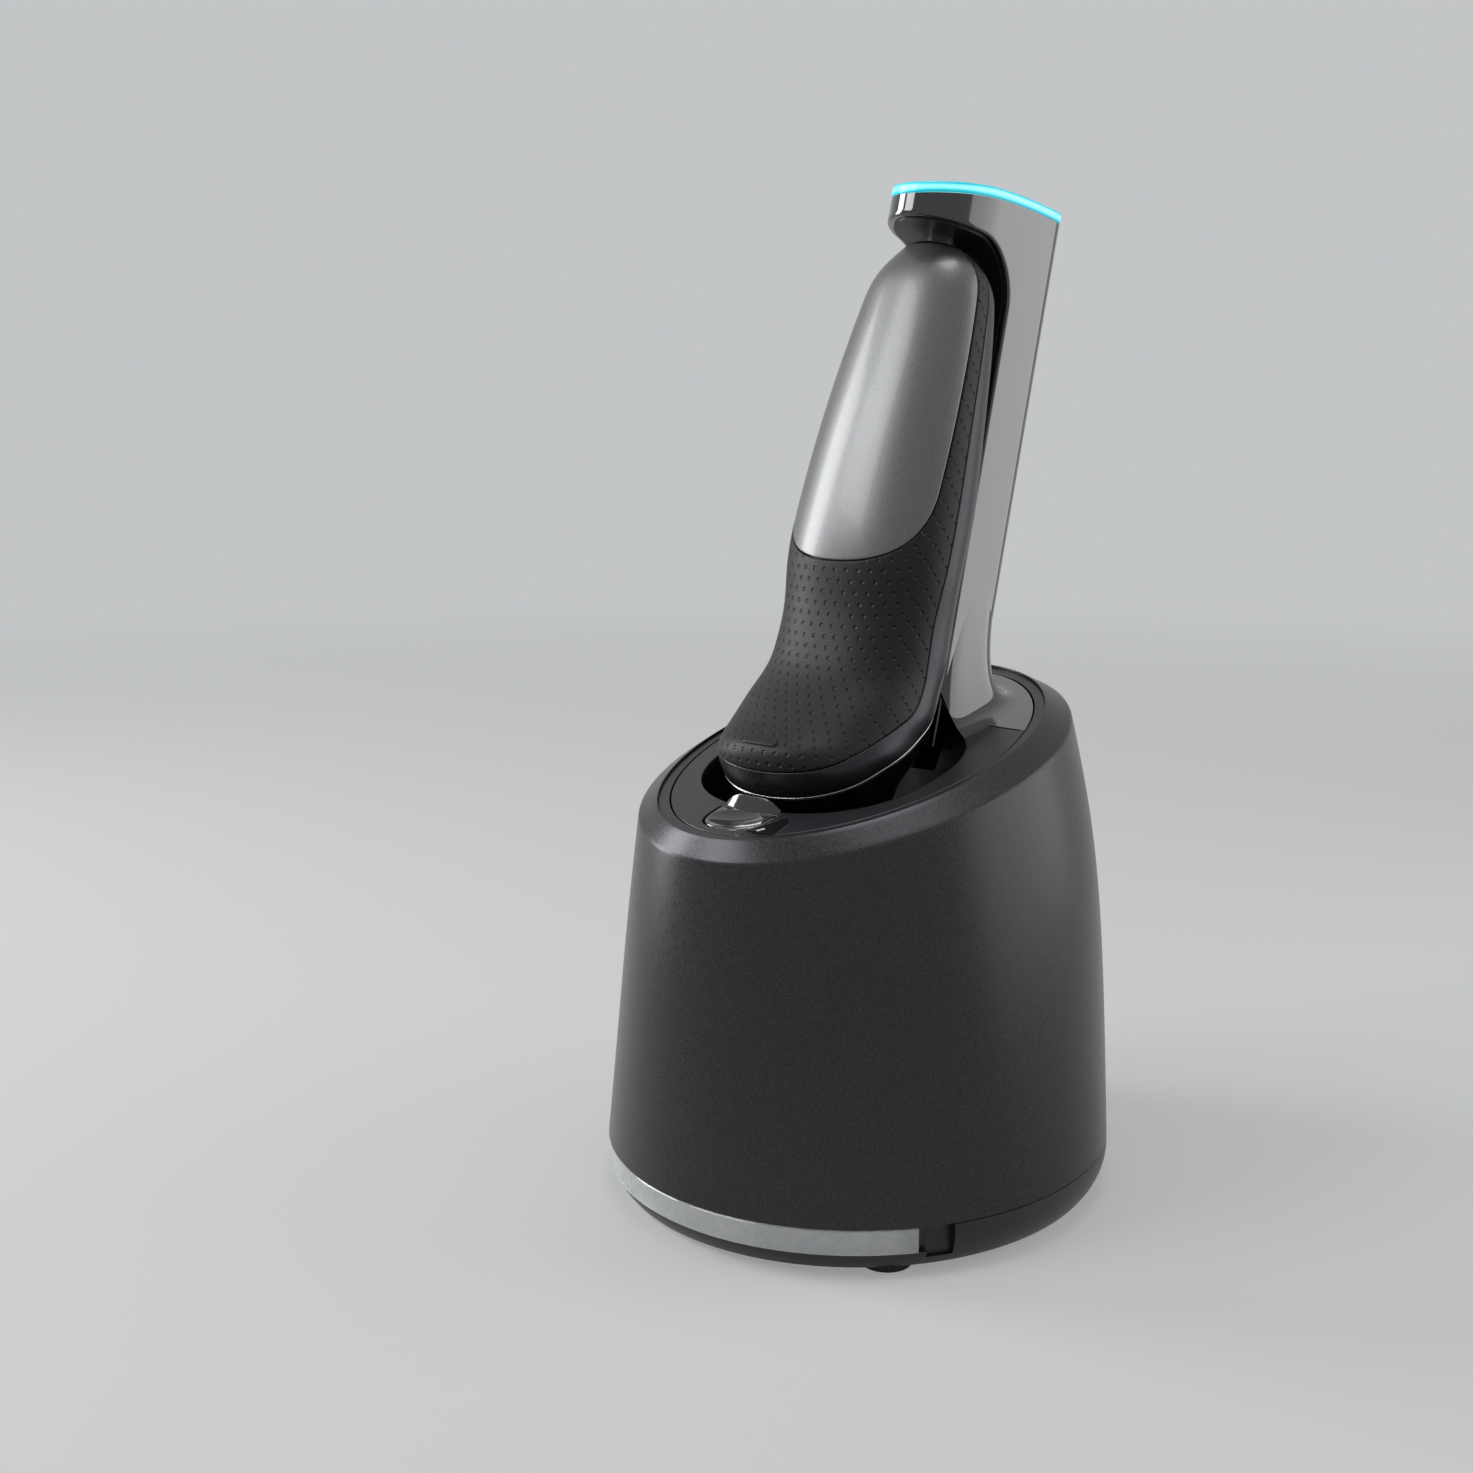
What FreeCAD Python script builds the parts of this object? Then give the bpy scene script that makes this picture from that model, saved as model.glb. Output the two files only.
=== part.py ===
import FreeCAD, Part

import math
import os

import Sketcher

# Shaver cleaning station with a shaver docked head down in it.  Millimetres, +Z up, front towards -Y.
# The origin is the centre of the footprint box on the surface that the station stands on.

Vector = FreeCAD.Vector
X_AXIS = Vector(1, 0, 0)
Z_AXIS = Vector(0, 0, 1)

doc = FreeCAD.newDocument("ShaverCleaningStation")
sheet = doc.addObject("Spreadsheet::Sheet", "Sizes")

# ---------------------------------------------------------------- driving dimensions

SIZES = [
    # base tray and its feet
    ("base_half_width", 62.5, "half width of the base at the parting line"),
    ("base_half_depth", 66.2, "half depth of the base at the parting line"),
    ("base_centre", -2.0, "Y of the base's centre"),
    ("seam_height", 12.0, "height of the parting line between base and housing"),
    ("seam_gap", 0.3, "open parting line"),
    ("foot_height", 1.5, "rubber feet below the tray"),
    ("foot_radius", 6.0, "rubber foot"),
    ("foot_reach_x", 38.0, "feet left and right of the centre"),
    ("foot_reach_y", 40.0, "feet in front of and behind the centre"),
    ("tray_undercut", 3.2, "how far the tray's lower edge draws in"),
    ("tray_floor", 2.0, "floor of the tray"),
    ("tray_wall", 3.0, "wall ring of the tray"),
    # clear level window in the front of the tray ring
    ("window_height", 6.0, "clear band"),
    ("window_half_angle", 51.0, "degrees to each side of the front"),
    ("window_depth", 2.2, "thickness of the clear band"),
    ("rib_pitch", 1.05, "spacing of the window's ribs"),
    ("rib_depth", 0.35, "how far each rib stands out behind the window"),
    ("window_block", 3.6, "degrees of the window without ribs, beside the notch"),
    ("notch_angle", 6.0, "degrees taken by the finger notch beside the window"),
    # housing shell
    ("wall", 2.4, "housing wall"),
    ("low_height", 45.0, "lower shaping section"),
    ("low_half_width", 57.8, "lower shaping section"),
    ("low_half_depth", 68.2, "lower shaping section"),
    ("high_height", 80.0, "upper shaping section"),
    ("high_half_width", 52.2, "upper shaping section"),
    ("high_half_depth", 67.9, "upper shaping section"),
    ("rim_height", 107.7, "outer edge of the bevel, at its middle"),
    ("rim_half_width", 47.6, "outer edge of the bevel"),
    ("rim_half_depth", 62.6, "outer edge of the bevel"),
    ("rim_centre", -2.9, "Y of the bevel's outer edge centre"),
    ("lip_height", 111.5, "inner edge of the bevel, at its middle"),
    ("lip_half_width", 40.7, "inner edge of the bevel"),
    ("lip_half_depth", 57.9, "inner edge of the bevel, measured level"),
    ("lip_centre", -4.4, "Y of the bevel's inner edge centre"),
    ("deck_angle", 12.68, "slope of the top, rising to the rear, in degrees"),
    # deck, well and wash bowl
    ("deck_gap", 0.5, "open groove around the deck"),
    ("deck_drop", 0.8, "deck surface below the bevel's inner edge"),
    ("deck_thickness", 2.2, "deck panel"),
    ("ledge", 2.4, "ledge in the housing that carries the deck"),
    ("well_half_width", 31.0, "opening for the shaver head"),
    ("well_half_depth", 31.2, "opening for the shaver head, along the slope"),
    ("well_offset", -10.0, "well centre in front of the deck centre, along the slope"),
    ("skirt_line", 21.5, "where the rear skirt meets the deck panel, along the slope"),
    ("bowl_wall", 1.5, "wash bowl"),
    ("bowl_rise", 5.6, "inside floor of the wash bowl above the chassis' underside"),
    ("bowl_waist", 9.7, "shaping section of the wash bowl above its floor"),
    ("bowl_floor_half_width", 27.0, "floor of the wash bowl"),
    ("bowl_floor_half_depth", 18.0, "floor of the wash bowl"),
    ("bowl_floor_centre", -23.0, "Y of the bowl floor's centre"),
    ("drain_radius", 4.0, "drain through the bowl floor"),
    ("drain_x", -12.0, "drain position"),
    ("drain_y", -18.0, "drain position"),
    # leaning tower and its head
    ("tower_lean", 15.3, "degrees back from upright"),
    ("tower_foot_y", 21.2, "column centre where it meets the deck"),
    ("tower_foot_z", 113.0, "column centre where it meets the deck"),
    ("tower_half_width", 13.5, "column and head"),
    ("column_half_depth", 10.4, "column"),
    ("arm_reach", 41.2, "nose in front of the column centre"),
    ("arm_underside", 119.5, "underside of the head above the foot"),
    ("arm_fillet", 15.0, "inner corner between head and column"),
    ("nose_length", 20.0, "rounded part of the head"),
    ("crown_front", 127.6, "top of the head at the nose"),
    ("crown_middle", 133.2, "top of the head half way"),
    ("crown_rear", 136.3, "top of the head at the rear"),
    ("rear_corner", 5.0, "rounded rear corners of the column"),
    ("tower_wall", 1.8, "tower shell"),
    ("strip_height", 2.7, "light strip on top of the head"),
    ("strip_gap", 0.15, "joint between light strip and shell"),
    ("liner_inset", 1.0, "liner behind the shell's front edge"),
    ("liner_wall", 1.6, "liner plate"),
    # shaver
    ("shaver_lean", 18.5, "degrees back from upright"),
    ("pivot_y", -21.3, "tilt axis of the docked shaver"),
    ("pivot_z", 85.0, "tilt axis of the docked shaver"),
    ("shaver_above_pivot", 153.9, "from the tilt axis to the shaver's end"),
    ("grip_half_width", 22.8, "grip at its middle"),
    ("grip_half_depth", 17.0, "grip at its middle"),
    ("neck_reach", 28.8, "back of the neck at the grip joint, behind the tilt axis"),
    ("joint_height", 17.2, "grip joint at the back of the neck"),
    ("joint_angle", 40.2, "slope of the grip joint and of the collar joint, in degrees"),
    ("collar_drop", 9.2, "collar joint below the grip joint"),
    ("thumb_ridge", 0.5, "raised bar at the foot of the grip"),
    ("head_half_width", 23.3, "shaver head"),
    ("head_half_depth", 14.0, "shaver head"),
    ("end_radius", 7.5, "flat end of the shaver"),
    ("skin", 1.4, "covers set into the shaver body"),
    ("skin_gap", 0.15, "joint around the covers"),
    ("foil_depth", 6.1, "foils beyond the tilt axis"),
    ("seat_gap", 0.3, "clearance between seated pieces"),
    # contact pin in the head
    ("pin_radius", 3.6, "contact pin"),
    ("pin_travel", 2.0, "spring travel of the contact pin"),
    ("pin_clearance", 0.1, "pin in its guide"),
    ("pin_flange", 4.4, "flange that keeps the pin in the head"),
    ("board_thickness", 1.0, "circuit boards"),
    # lift column
    ("column_y", -44.0, "guide tube position"),
    ("guide_radius", 10.0, "outside of the guide tube"),
    ("guide_wall", 1.8, "guide tube"),
    ("guide_headroom", 2.0, "guide tube below the chassis"),
    ("post_clearance", 0.1, "post in the guide tube"),
    ("post_wall", 1.6, "lift post"),
    ("spring_wire", 0.8, "radius of the lift spring's wire"),
    ("spring_turns", 6.0, "turns of the lift spring"),
    # chassis
    ("chassis_height", 68.0, "underside of the chassis plate"),
    ("chassis_thickness", 2.0, "chassis plate"),
    # cleaning cartridge
    ("cartridge_half_width", 50.0, "refill cartridge"),
    ("cartridge_front", -50.0, "refill cartridge"),
    ("cartridge_rear", 16.0, "refill cartridge"),
    ("cartridge_headroom", 12.0, "tank's height less than the chassis' height"),
    ("cartridge_lift", 0.3, "clearance above the tray floor"),
    ("cartridge_wall", 1.5, "refill cartridge"),
    ("groove_radius", 13.0, "groove that passes the guide tube"),
    ("mouth_radius", 22.0, "large mouth in the cartridge lid"),
    ("mouth_x", -16.0, "large mouth"),
    ("mouth_y", -12.0, "large mouth"),
    ("suction_radius", 6.0, "small mouth in the cartridge lid"),
    ("suction_x", 30.0, "small mouth and suction tube"),
    ("suction_y", -8.0, "small mouth and suction tube"),
    ("fluid_headroom", 14.0, "fluid below the tank's rim"),
    # pump
    ("pump_x", 21.0, "pump and motor"),
    ("pump_y", 36.0, "pump and motor"),
    ("pump_radius", 14.0, "pump chamber"),
    ("pump_height", 13.0, "pump chamber"),
    ("motor_radius", 10.5, "pump motor"),
    ("motor_height", 24.0, "pump motor"),
    ("shaft_radius", 1.5, "pump shaft"),
    ("shaft_clearance", 0.05, "shaft in its bearing"),
    ("tube_radius", 2.5, "fluid tubes"),
    ("tube_bore", 1.5, "fluid tubes"),
    ("jet_x", 10.0, "feed tube's mouth in the wash bowl"),
    ("jet_rise", 6.4, "feed tube above the wash bowl's floor"),
    # controls and inlet
    ("button_half_width", 8.0, "start button"),
    ("button_length", 9.8, "start button along the slope"),
    ("button_offset", -47.9, "start button centre, along the slope"),
    ("button_travel", 1.5, "start button"),
    ("button_gap", 0.4, "start button in its opening"),
    ("dish_depth", 1.0, "hollow of the start button"),
    ("tab_height", 3.0, "raised tab between the start button and the well"),
    ("tab_lean", 1.6, "how far the tab leans back over the well"),
    ("light_x", 9.8, "status light beside the start button"),
    ("light_offset", -50.4, "status light, along the slope"),
    ("light_length", 2.0, "status light"),
    ("light_width", 0.9, "status light"),
    ("light_turn", 55.0, "status light against the deck's width, in degrees"),
    ("switch_level", -12.0, "switch board below the deck's surface"),
    ("lift_button_height", 58.0, "middle of the lift button"),
    ("lift_button_half_width", 9.0, "lift button"),
    ("lift_button_half_height", 5.0, "lift button"),
    ("lift_button_travel", 3.0, "lift button"),
    ("hook_spread", 14.0, "latch legs left and right of the centre"),
    ("socket_height", 24.0, "middle of the power socket"),
    ("socket_half_width", 8.0, "power socket body"),
    ("socket_half_height", 6.0, "power socket body"),
    ("socket_depth", 13.0, "power socket body"),
    ("socket_well_half_width", 5.5, "power socket cavity"),
    ("socket_well_half_height", 3.5, "power socket cavity"),
    ("socket_well_depth", 9.0, "power socket cavity"),
    ("power_button_radius", 6.0, "shaver power button"),
    ("power_button_height", 92.0, "shaver power button above the tilt axis"),
    ("power_button_travel", 0.8, "shaver power button"),
]

for row, (alias, value, meaning) in enumerate(SIZES, start=1):
    sheet.set(f"A{row}", alias)
    sheet.set(f"B{row}", str(value))
    sheet.setAlias(f"B{row}", alias)
    sheet.set(f"C{row}", meaning)
doc.recompute()


class Dim:
    """A size worked out from the sheet: its value now, and the expression that keeps it bound."""

    def __init__(self, value, text):
        self.value = float(value)
        self.text = text

    def __float__(self):
        return self.value

    def _with(self, other, sign, value, swap=False):
        other = other if isinstance(other, Dim) else Dim(other, str(other))
        left, right = (other, self) if swap else (self, other)
        return Dim(value(left.value, right.value), f"({left.text} {sign} {right.text})")

    def __add__(self, other):
        return self._with(other, "+", lambda a, b: a + b)

    def __radd__(self, other):
        return self._with(other, "+", lambda a, b: a + b, swap=True)

    def __sub__(self, other):
        return self._with(other, "-", lambda a, b: a - b)

    def __rsub__(self, other):
        return self._with(other, "-", lambda a, b: a - b, swap=True)

    def __mul__(self, other):
        return self._with(other, "*", lambda a, b: a * b)

    def __rmul__(self, other):
        return self._with(other, "*", lambda a, b: a * b, swap=True)

    def __truediv__(self, other):
        return self._with(other, "/", lambda a, b: a / b)

    def __neg__(self):
        return Dim(-self.value, f"(-1 * {self.text})")


class SheetSizes:
    """Reads the sheet: size.wall is the Dim of the cell with the alias wall."""

    def __getattr__(self, alias):
        return Dim(getattr(sheet, alias), f"Sizes.{alias}")


size = SheetSizes()
ZERO = Dim(0, "0")

PIECES = []


def named(item, label):
    """Give a finished sub-part its label, which is also its file's name."""
    item.Label = label
    PIECES.append(item)
    return item


def bind(item, name, dim):
    """Bind one property of an object to the sheet."""
    item.setExpression(name, dim.text)


def place(item, x=ZERO, y=ZERO, z=ZERO, tilt=ZERO):
    """Put an object at a point, turned about X by a bound angle."""
    item.setExpression(
        "Placement",
        f"placement(vector({x.text}; {y.text}; {z.text}); rotation(vector(1; 0; 0); {tilt.text}))",
    )


# ---------------------------------------------------------------- sketch helpers


def new_body(name):
    return doc.addObject("PartDesign::Body", name)


def sketch_on(body, role):
    """A sketch on one of the body's own origin planes."""
    sketch = body.newObject("Sketcher::SketchObject", body.Name + "Sketch")
    plane = next(f for f in body.Origin.OriginFeatures if f.Role == role)
    sketch.AttachmentSupport = [(plane, "")]
    sketch.MapMode = "FlatFace"
    return sketch


def hold_point(sketch, geometry, end, point):
    """Hold a sketch point at two bound distances from the sketch's origin."""
    for kind, axis, dim in (("DistanceX", -2, point[0]), ("DistanceY", -1, point[1])):
        if dim is ZERO:
            sketch.addConstraint(Sketcher.Constraint("PointOnObject", geometry, end, axis))
            continue
        number = sketch.addConstraint(Sketcher.Constraint(kind, -1, 1, geometry, end, float(dim)))
        sketch.setExpression(f"Constraints[{number}]", dim.text)


def polygon(sketch, corners):
    """Closed outline of straight lines through bound corners."""
    first = sketch.GeometryCount
    count = len(corners)
    flat = [Vector(float(x), float(y), 0) for x, y in corners]
    for i in range(count):
        sketch.addGeometry(Part.LineSegment(flat[i], flat[(i + 1) % count]), False)
    for i in range(count):
        sketch.addConstraint(Sketcher.Constraint("Coincident", first + i, 2, first + (i + 1) % count, 1))
    for i in range(count):
        hold_point(sketch, first + i, 1, corners[i])


def rectangle(sketch, left, bottom, right, top):
    polygon(sketch, [(left, bottom), (right, bottom), (right, top), (left, top)])


def circle(sketch, centre, radius):
    """Circle with a bound centre and radius."""
    middle = Vector(float(centre[0]), float(centre[1]), 0)
    number = sketch.addGeometry(Part.Circle(middle, Z_AXIS, float(radius)), False)
    hold_point(sketch, number, 3, centre)
    held = sketch.addConstraint(Sketcher.Constraint("Radius", number, float(radius)))
    sketch.setExpression(f"Constraints[{held}]", radius.text)


def pad(body, sketch, length, midplane=False, reverse=False):
    feature = body.newObject("PartDesign::Pad", body.Name + "Pad")
    feature.Profile = sketch
    bind(feature, "Length", length)
    feature.Midplane = midplane
    feature.Reversed = reverse
    doc.recompute()
    return feature


def pocket(body, sketch, depth, reverse=False, midplane=False):
    feature = body.newObject("PartDesign::Pocket", body.Name + "Pocket")
    feature.Profile = sketch
    bind(feature, "Length", depth)
    feature.Reversed = reverse
    feature.Midplane = midplane
    doc.recompute()
    return feature


def revolve(body, sketch):
    """Full turn of a sketch about the body's own Z axis."""
    feature = body.newObject("PartDesign::Revolution", body.Name + "Turn")
    feature.Profile = sketch
    feature.ReferenceAxis = (sketch, ["V_Axis"])
    feature.Angle = 360
    doc.recompute()
    return feature


def turned(name, profile):
    """Body of revolution about Z; profile is a list of bound (radius, height) corners."""
    body = new_body(name)
    sketch = sketch_on(body, "XZ_Plane")
    polygon(sketch, profile)
    revolve(body, sketch)
    return body


# ---------------------------------------------------------------- free-form helpers

OVAL_POINTS = 24


def oval(half_width, half_depth, centre_y, height, slope=0.0, power=2.0):
    """Closed smooth curve around Z, an ellipse or fuller, on a plane that rises by slope towards the rear."""
    points = []
    for step in range(OVAL_POINTS):
        turn = 2 * math.pi * step / OVAL_POINTS
        across = math.copysign(abs(math.cos(turn)) ** (2 / power), math.cos(turn))
        along = math.copysign(abs(math.sin(turn)) ** (2 / power), math.sin(turn))
        y = float(half_depth) * along
        points.append(Vector(float(half_width) * across, float(centre_y) + y, float(height) + slope * y))
    curve = Part.BSplineCurve()
    curve.interpolate(Points=points, PeriodicFlag=True)
    return Part.Wire([curve.toShape()])


def loft(sections, ruled=False):
    return Part.makeLoft(sections, True, ruled)


def prism(wire, rise):
    """Solid between a flat closed wire and its copy, rise above it."""
    return Part.Face(wire).extrude(Vector(0, 0, float(rise)))


def path(points):
    """Closed wire of lines and arcs: a corner given with a third value is reached by an arc through it."""
    edges = []
    count = len(points)
    for i in range(count):
        start = points[i][0]
        end = points[(i + 1) % count][0]
        through = points[(i + 1) % count][1]
        if through is None:
            edges.append(Part.LineSegment(start, end).toShape())
        else:
            edges.append(Part.Arc(start, through, end).toShape())
    return Part.Wire(edges)


def feature(name, shape, placement=None):
    """Sub-part whose form is worked out here from the sheet's sizes."""
    item = doc.addObject("Part::Feature", name.title().replace("_", ""))
    item.Shape = shape
    if placement is not None:
        item.Placement = placement
    return named(item, name)


def box(low, high):
    return Part.makeBox(*[h - l for l, h in zip(low, high)], Vector(*low))


def turned_about_x(shape, angle, point):
    """Copy of a shape built around its own origin, turned about X and moved to a point."""
    copy = shape.copy()
    copy.Placement = FreeCAD.Placement(point, FreeCAD.Rotation(X_AXIS, angle))
    return copy


def in_deck(shape):
    """Shape built on the deck's own level plane, set on the slope."""
    return turned_about_x(shape, float(size.deck_angle), Vector(0, float(size.lip_centre), float(size.lip_height)))


def in_tower(shape):
    """Shape built around an upright column, leaned back with the tower."""
    foot = Vector(0, float(size.tower_foot_y), float(size.tower_foot_z))
    return turned_about_x(shape, -float(size.tower_lean), foot)


def in_shaver(shape):
    """Shape built around an upright shaver whose tilt axis is X, set in the well."""
    return turned_about_x(shape, -float(size.shaver_lean), Vector(0, float(size.pivot_y), float(size.pivot_z)))


DECK_SLOPE = math.tan(math.radians(float(size.deck_angle)))
DECK_STRETCH = 1 / math.cos(math.radians(float(size.deck_angle)))


# ---------------------------------------------------------------- base tray


def tray_oval(inset, height):
    return oval(size.base_half_width - inset, size.base_half_depth - inset, size.base_centre, height)


def sector(start, end, low, high, reach=120.0):
    """Wedge of a ring around the base's centre; angles in degrees from the front, to the right."""
    centre = Vector(0, float(size.base_centre), low)
    corners = [centre]
    steps = 4
    for i in range(steps + 1):
        turn = math.radians(start + (end - start) * i / steps)
        corners.append(centre + Vector(math.sin(turn), -math.cos(turn), 0) * reach)
    corners.append(centre)
    return Part.Face(Part.makePolygon(corners)).extrude(Vector(0, 0, high - low))


def base_tray():
    bottom = float(size.foot_height)
    top = float(size.seam_height - size.seam_gap)
    floor = bottom + float(size.tray_floor)
    undercut = float(size.tray_undercut)
    outer = loft([
        tray_oval(undercut, bottom),
        tray_oval(undercut * 0.28, bottom + 3.5),
        tray_oval(0.1, top),
    ])
    inside = prism(tray_oval(undercut + float(size.tray_wall), floor), top)
    tray = outer.cut(inside)

    window_low = top - float(size.window_height)
    half = float(size.window_half_angle)
    seat = prism(tray_oval(-5, window_low), 20).cut(
        prism(tray_oval(float(size.window_depth) + float(size.seat_gap), window_low - 1), 30))
    tray = tray.cut(seat.common(sector(-half, half, window_low, 30)))
    notch = prism(tray_oval(-5, bottom + 2.5), 20).cut(prism(tray_oval(2.4, 0), 40))
    tray = tray.cut(notch.common(sector(half, half + float(size.notch_angle), 0, 30)))

    guide_radius = float(size.guide_radius)
    column = Vector(0, float(size.column_y), floor)
    guide_height = float(size.chassis_height - size.guide_headroom) - floor
    guide = Part.makeCylinder(guide_radius, guide_height, column)
    bore = Part.makeCylinder(guide_radius - float(size.guide_wall), guide_height + 1, column)
    tray = tray.fuse(guide).cut(bore)

    for side in (-1, 1):
        spread = side * float(size.hook_spread)
        rear = float(size.base_centre + size.base_half_depth) - undercut - float(size.tray_wall)
        catch = box((spread - 3, rear - 6.5, 7.0), (spread + 3, rear, 9.5))
        web = box((spread - 3, rear - 2.0, floor), (spread + 3, rear, 9.5))
        tray = tray.fuse(catch).fuse(web)
        rail_x = side * (float(size.cartridge_half_width) + 1.0)
        rail = box((min(rail_x, rail_x + side * 2), -20, floor), (max(rail_x, rail_x + side * 2), 14, floor + 6))
        tray = tray.fuse(rail)
    feature("base_tray", tray.removeSplitter())


# steps of the window's smooth front, and one rib: share of the pitch and whether it lies in the valley
FRONT_STEPS = 60
RIB_PROFILE = ((0.0, True), (0.28, False), (0.62, False), (0.9, True))


def level_window():
    top = float(size.seam_height - size.seam_gap)
    height = float(size.window_height) - 0.1
    half = math.radians(float(size.window_half_angle) - 0.3)
    outer_x = float(size.base_half_width)
    outer_y = float(size.base_half_depth)
    count = int(2 * half * (outer_x + outer_y) / 2 / float(size.rib_pitch))

    def ring_point(turn, inset):
        x = (outer_x - inset) * math.sin(turn)
        y = float(size.base_centre) - (outer_y - inset) * math.cos(turn)
        return Vector(x, y, top - height)

    ribs_end = half - math.radians(float(size.window_block))
    depth = float(size.window_depth)
    valley = depth - float(size.rib_depth)
    points = [ring_point(-half + 2 * half * i / FRONT_STEPS, 0.0) for i in range(FRONT_STEPS + 1)]
    points.append(ring_point(half, depth))
    for i in range(count):
        for share, inset in RIB_PROFILE:
            turn = ribs_end - (ribs_end + half) * (i + share) / count
            points.append(ring_point(turn, valley if inset else depth))
    points.append(ring_point(-half, valley))
    points.append(points[0])
    feature("level_window", Part.Face(Part.makePolygon(points)).extrude(Vector(0, 0, height)))


def rubber_feet():
    feet = []
    for i, (sx, sy) in enumerate(((-1, -1), (1, -1), (1, 1), (-1, 1))):
        foot = doc.addObject("Part::Cylinder", f"Foot{i}")
        bind(foot, "Radius", size.foot_radius)
        bind(foot, "Height", size.foot_height)
        place(foot, size.foot_reach_x * sx, size.foot_reach_y * sy + size.base_centre)
        feet.append(foot)
    group = doc.addObject("Part::Compound", "RubberFeet")
    group.Links = feet
    named(group, "rubber_feet")


def lift_spring():
    radius = float(size.guide_radius - size.guide_wall - size.post_clearance - size.post_wall) - 1.2
    wire = float(size.spring_wire)
    low = float(size.foot_height + size.tray_floor)
    high = float(size.chassis_height)
    pitch = (high - low - 2 * wire - 0.4) / float(size.spring_turns)
    helix = Part.makeHelix(pitch, pitch * float(size.spring_turns), radius - wire)
    section = Part.Wire([Part.makeCircle(wire, Vector(radius - wire, 0, 0), Vector(0, 1, 0))])
    coil = Part.Wire(helix).makePipeShell([section], True, True)
    coil.translate(Vector(0, float(size.column_y), low + wire + 0.2))
    feature("lift_spring", coil)


# ---------------------------------------------------------------- cleaning cartridge


def cartridge_plan(inset, height):
    """Outline of the cartridge: a rounded body with a groove at the front that passes the guide tube."""
    half_width = float(size.cartridge_half_width) - inset
    front = float(size.cartridge_front) + inset
    rear = float(size.cartridge_rear) - inset
    plan = Part.Face(oval(half_width, float(size.base_half_depth) * 0.82 - inset, size.base_centre, height, power=2.3))
    plan = plan.common(Part.makePlane(200, rear - front, Vector(-100, front, height)))
    groove = Part.makeCircle(float(size.groove_radius) + inset, Vector(0, float(size.column_y) - 2, height))
    return plan.cut(Part.Face(Part.Wire([groove])))


def cartridge():
    floor = float(size.foot_height + size.tray_floor + size.cartridge_lift)
    height = float(size.chassis_height - size.cartridge_headroom)
    wall = float(size.cartridge_wall)
    tank = cartridge_plan(0.0, floor).extrude(Vector(0, 0, height))
    hollow = cartridge_plan(wall, floor + wall).extrude(Vector(0, 0, height))
    feature("cartridge_tank", tank.cut(hollow))

    level = height - float(size.fluid_headroom)
    fluid = cartridge_plan(wall, floor + wall).extrude(Vector(0, 0, level))
    tube_hole = Part.makeCylinder(
        float(size.tube_radius) + 0.3, 100, Vector(float(size.suction_x), float(size.suction_y), floor + 8))
    feature("cartridge_fluid", fluid.cut(tube_hole))

    top = floor + height
    lid = cartridge_plan(0.0, top).extrude(Vector(0, 0, wall))
    mouth = Vector(float(size.mouth_x), float(size.mouth_y), top)
    small = Vector(float(size.suction_x), float(size.suction_y), top)
    collars = Part.makeCylinder(float(size.mouth_radius) + 1.4, wall + 1.6, mouth)
    collars = collars.fuse(Part.makeCylinder(float(size.suction_radius) + 1.4, wall + 1.6, small))
    lid = lid.fuse(collars)
    for x, y in ((-44, -14), (-40, 10), (8, 12), (42, 8)):
        lid = lid.fuse(Part.makeCone(1.4, 0.8, 3.6, Vector(x, y, top + wall)))
    lid = lid.cut(Part.makeCylinder(float(size.mouth_radius), 10, mouth))
    lid = lid.cut(Part.makeCylinder(float(size.suction_radius), 10, small))
    feature("cartridge_lid", lid.removeSplitter())


# ---------------------------------------------------------------- housing


def housing_sections(inset, top_drop=0.0):
    low_slope = DECK_SLOPE * 0.35
    high_slope = DECK_SLOPE * 0.7
    return [
        oval(size.base_half_width - inset, size.base_half_depth - inset, size.base_centre, size.seam_height),
        oval(size.low_half_width - inset, size.low_half_depth - inset, 0, size.low_height, low_slope),
        oval(size.high_half_width - inset, size.high_half_depth - inset, 0.1, size.high_height, high_slope),
        oval(size.rim_half_width - inset, size.rim_half_depth - inset, size.rim_centre,
             size.rim_height - top_drop, DECK_SLOPE),
    ]


def housing_shell():
    wall = float(size.wall)
    outer = loft(housing_sections(0.0))
    rim = oval(size.rim_half_width, size.rim_half_depth, size.rim_centre, size.rim_height, DECK_SLOPE)
    lip = oval(size.lip_half_width, size.lip_half_depth, size.lip_centre, size.lip_height, DECK_SLOPE)
    shell = outer.fuse(loft([rim, lip], ruled=True))
    inner = loft(housing_sections(wall, top_drop=wall))
    shell = shell.cut(inner)
    mouth_depth = float(size.deck_drop + size.deck_thickness)
    seat = prism(oval(size.lip_half_width, size.lip_half_depth * DECK_STRETCH, 0, -mouth_depth), 30)
    opening = prism(oval(size.lip_half_width - size.ledge, size.lip_half_depth * DECK_STRETCH - size.ledge, 0, -30), 60)
    shell = shell.cut(in_deck(seat)).cut(in_deck(opening))

    rear = float(size.base_half_depth)
    socket = box(
        (-float(size.socket_half_width) - 0.2, rear - 12, float(size.socket_height - size.socket_half_height) - 0.2),
        (float(size.socket_half_width) + 0.2, rear + 12, float(size.socket_height + size.socket_half_height) + 0.2))
    window = box(
        (-float(size.lift_button_half_width) - 0.4, rear - 12,
         float(size.lift_button_height - size.lift_button_half_height) - 0.4),
        (float(size.lift_button_half_width) + 0.4, rear + 12,
         float(size.lift_button_height + size.lift_button_half_height) + 0.4))
    feature("housing_shell", shell.cut(socket).cut(window))


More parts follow.
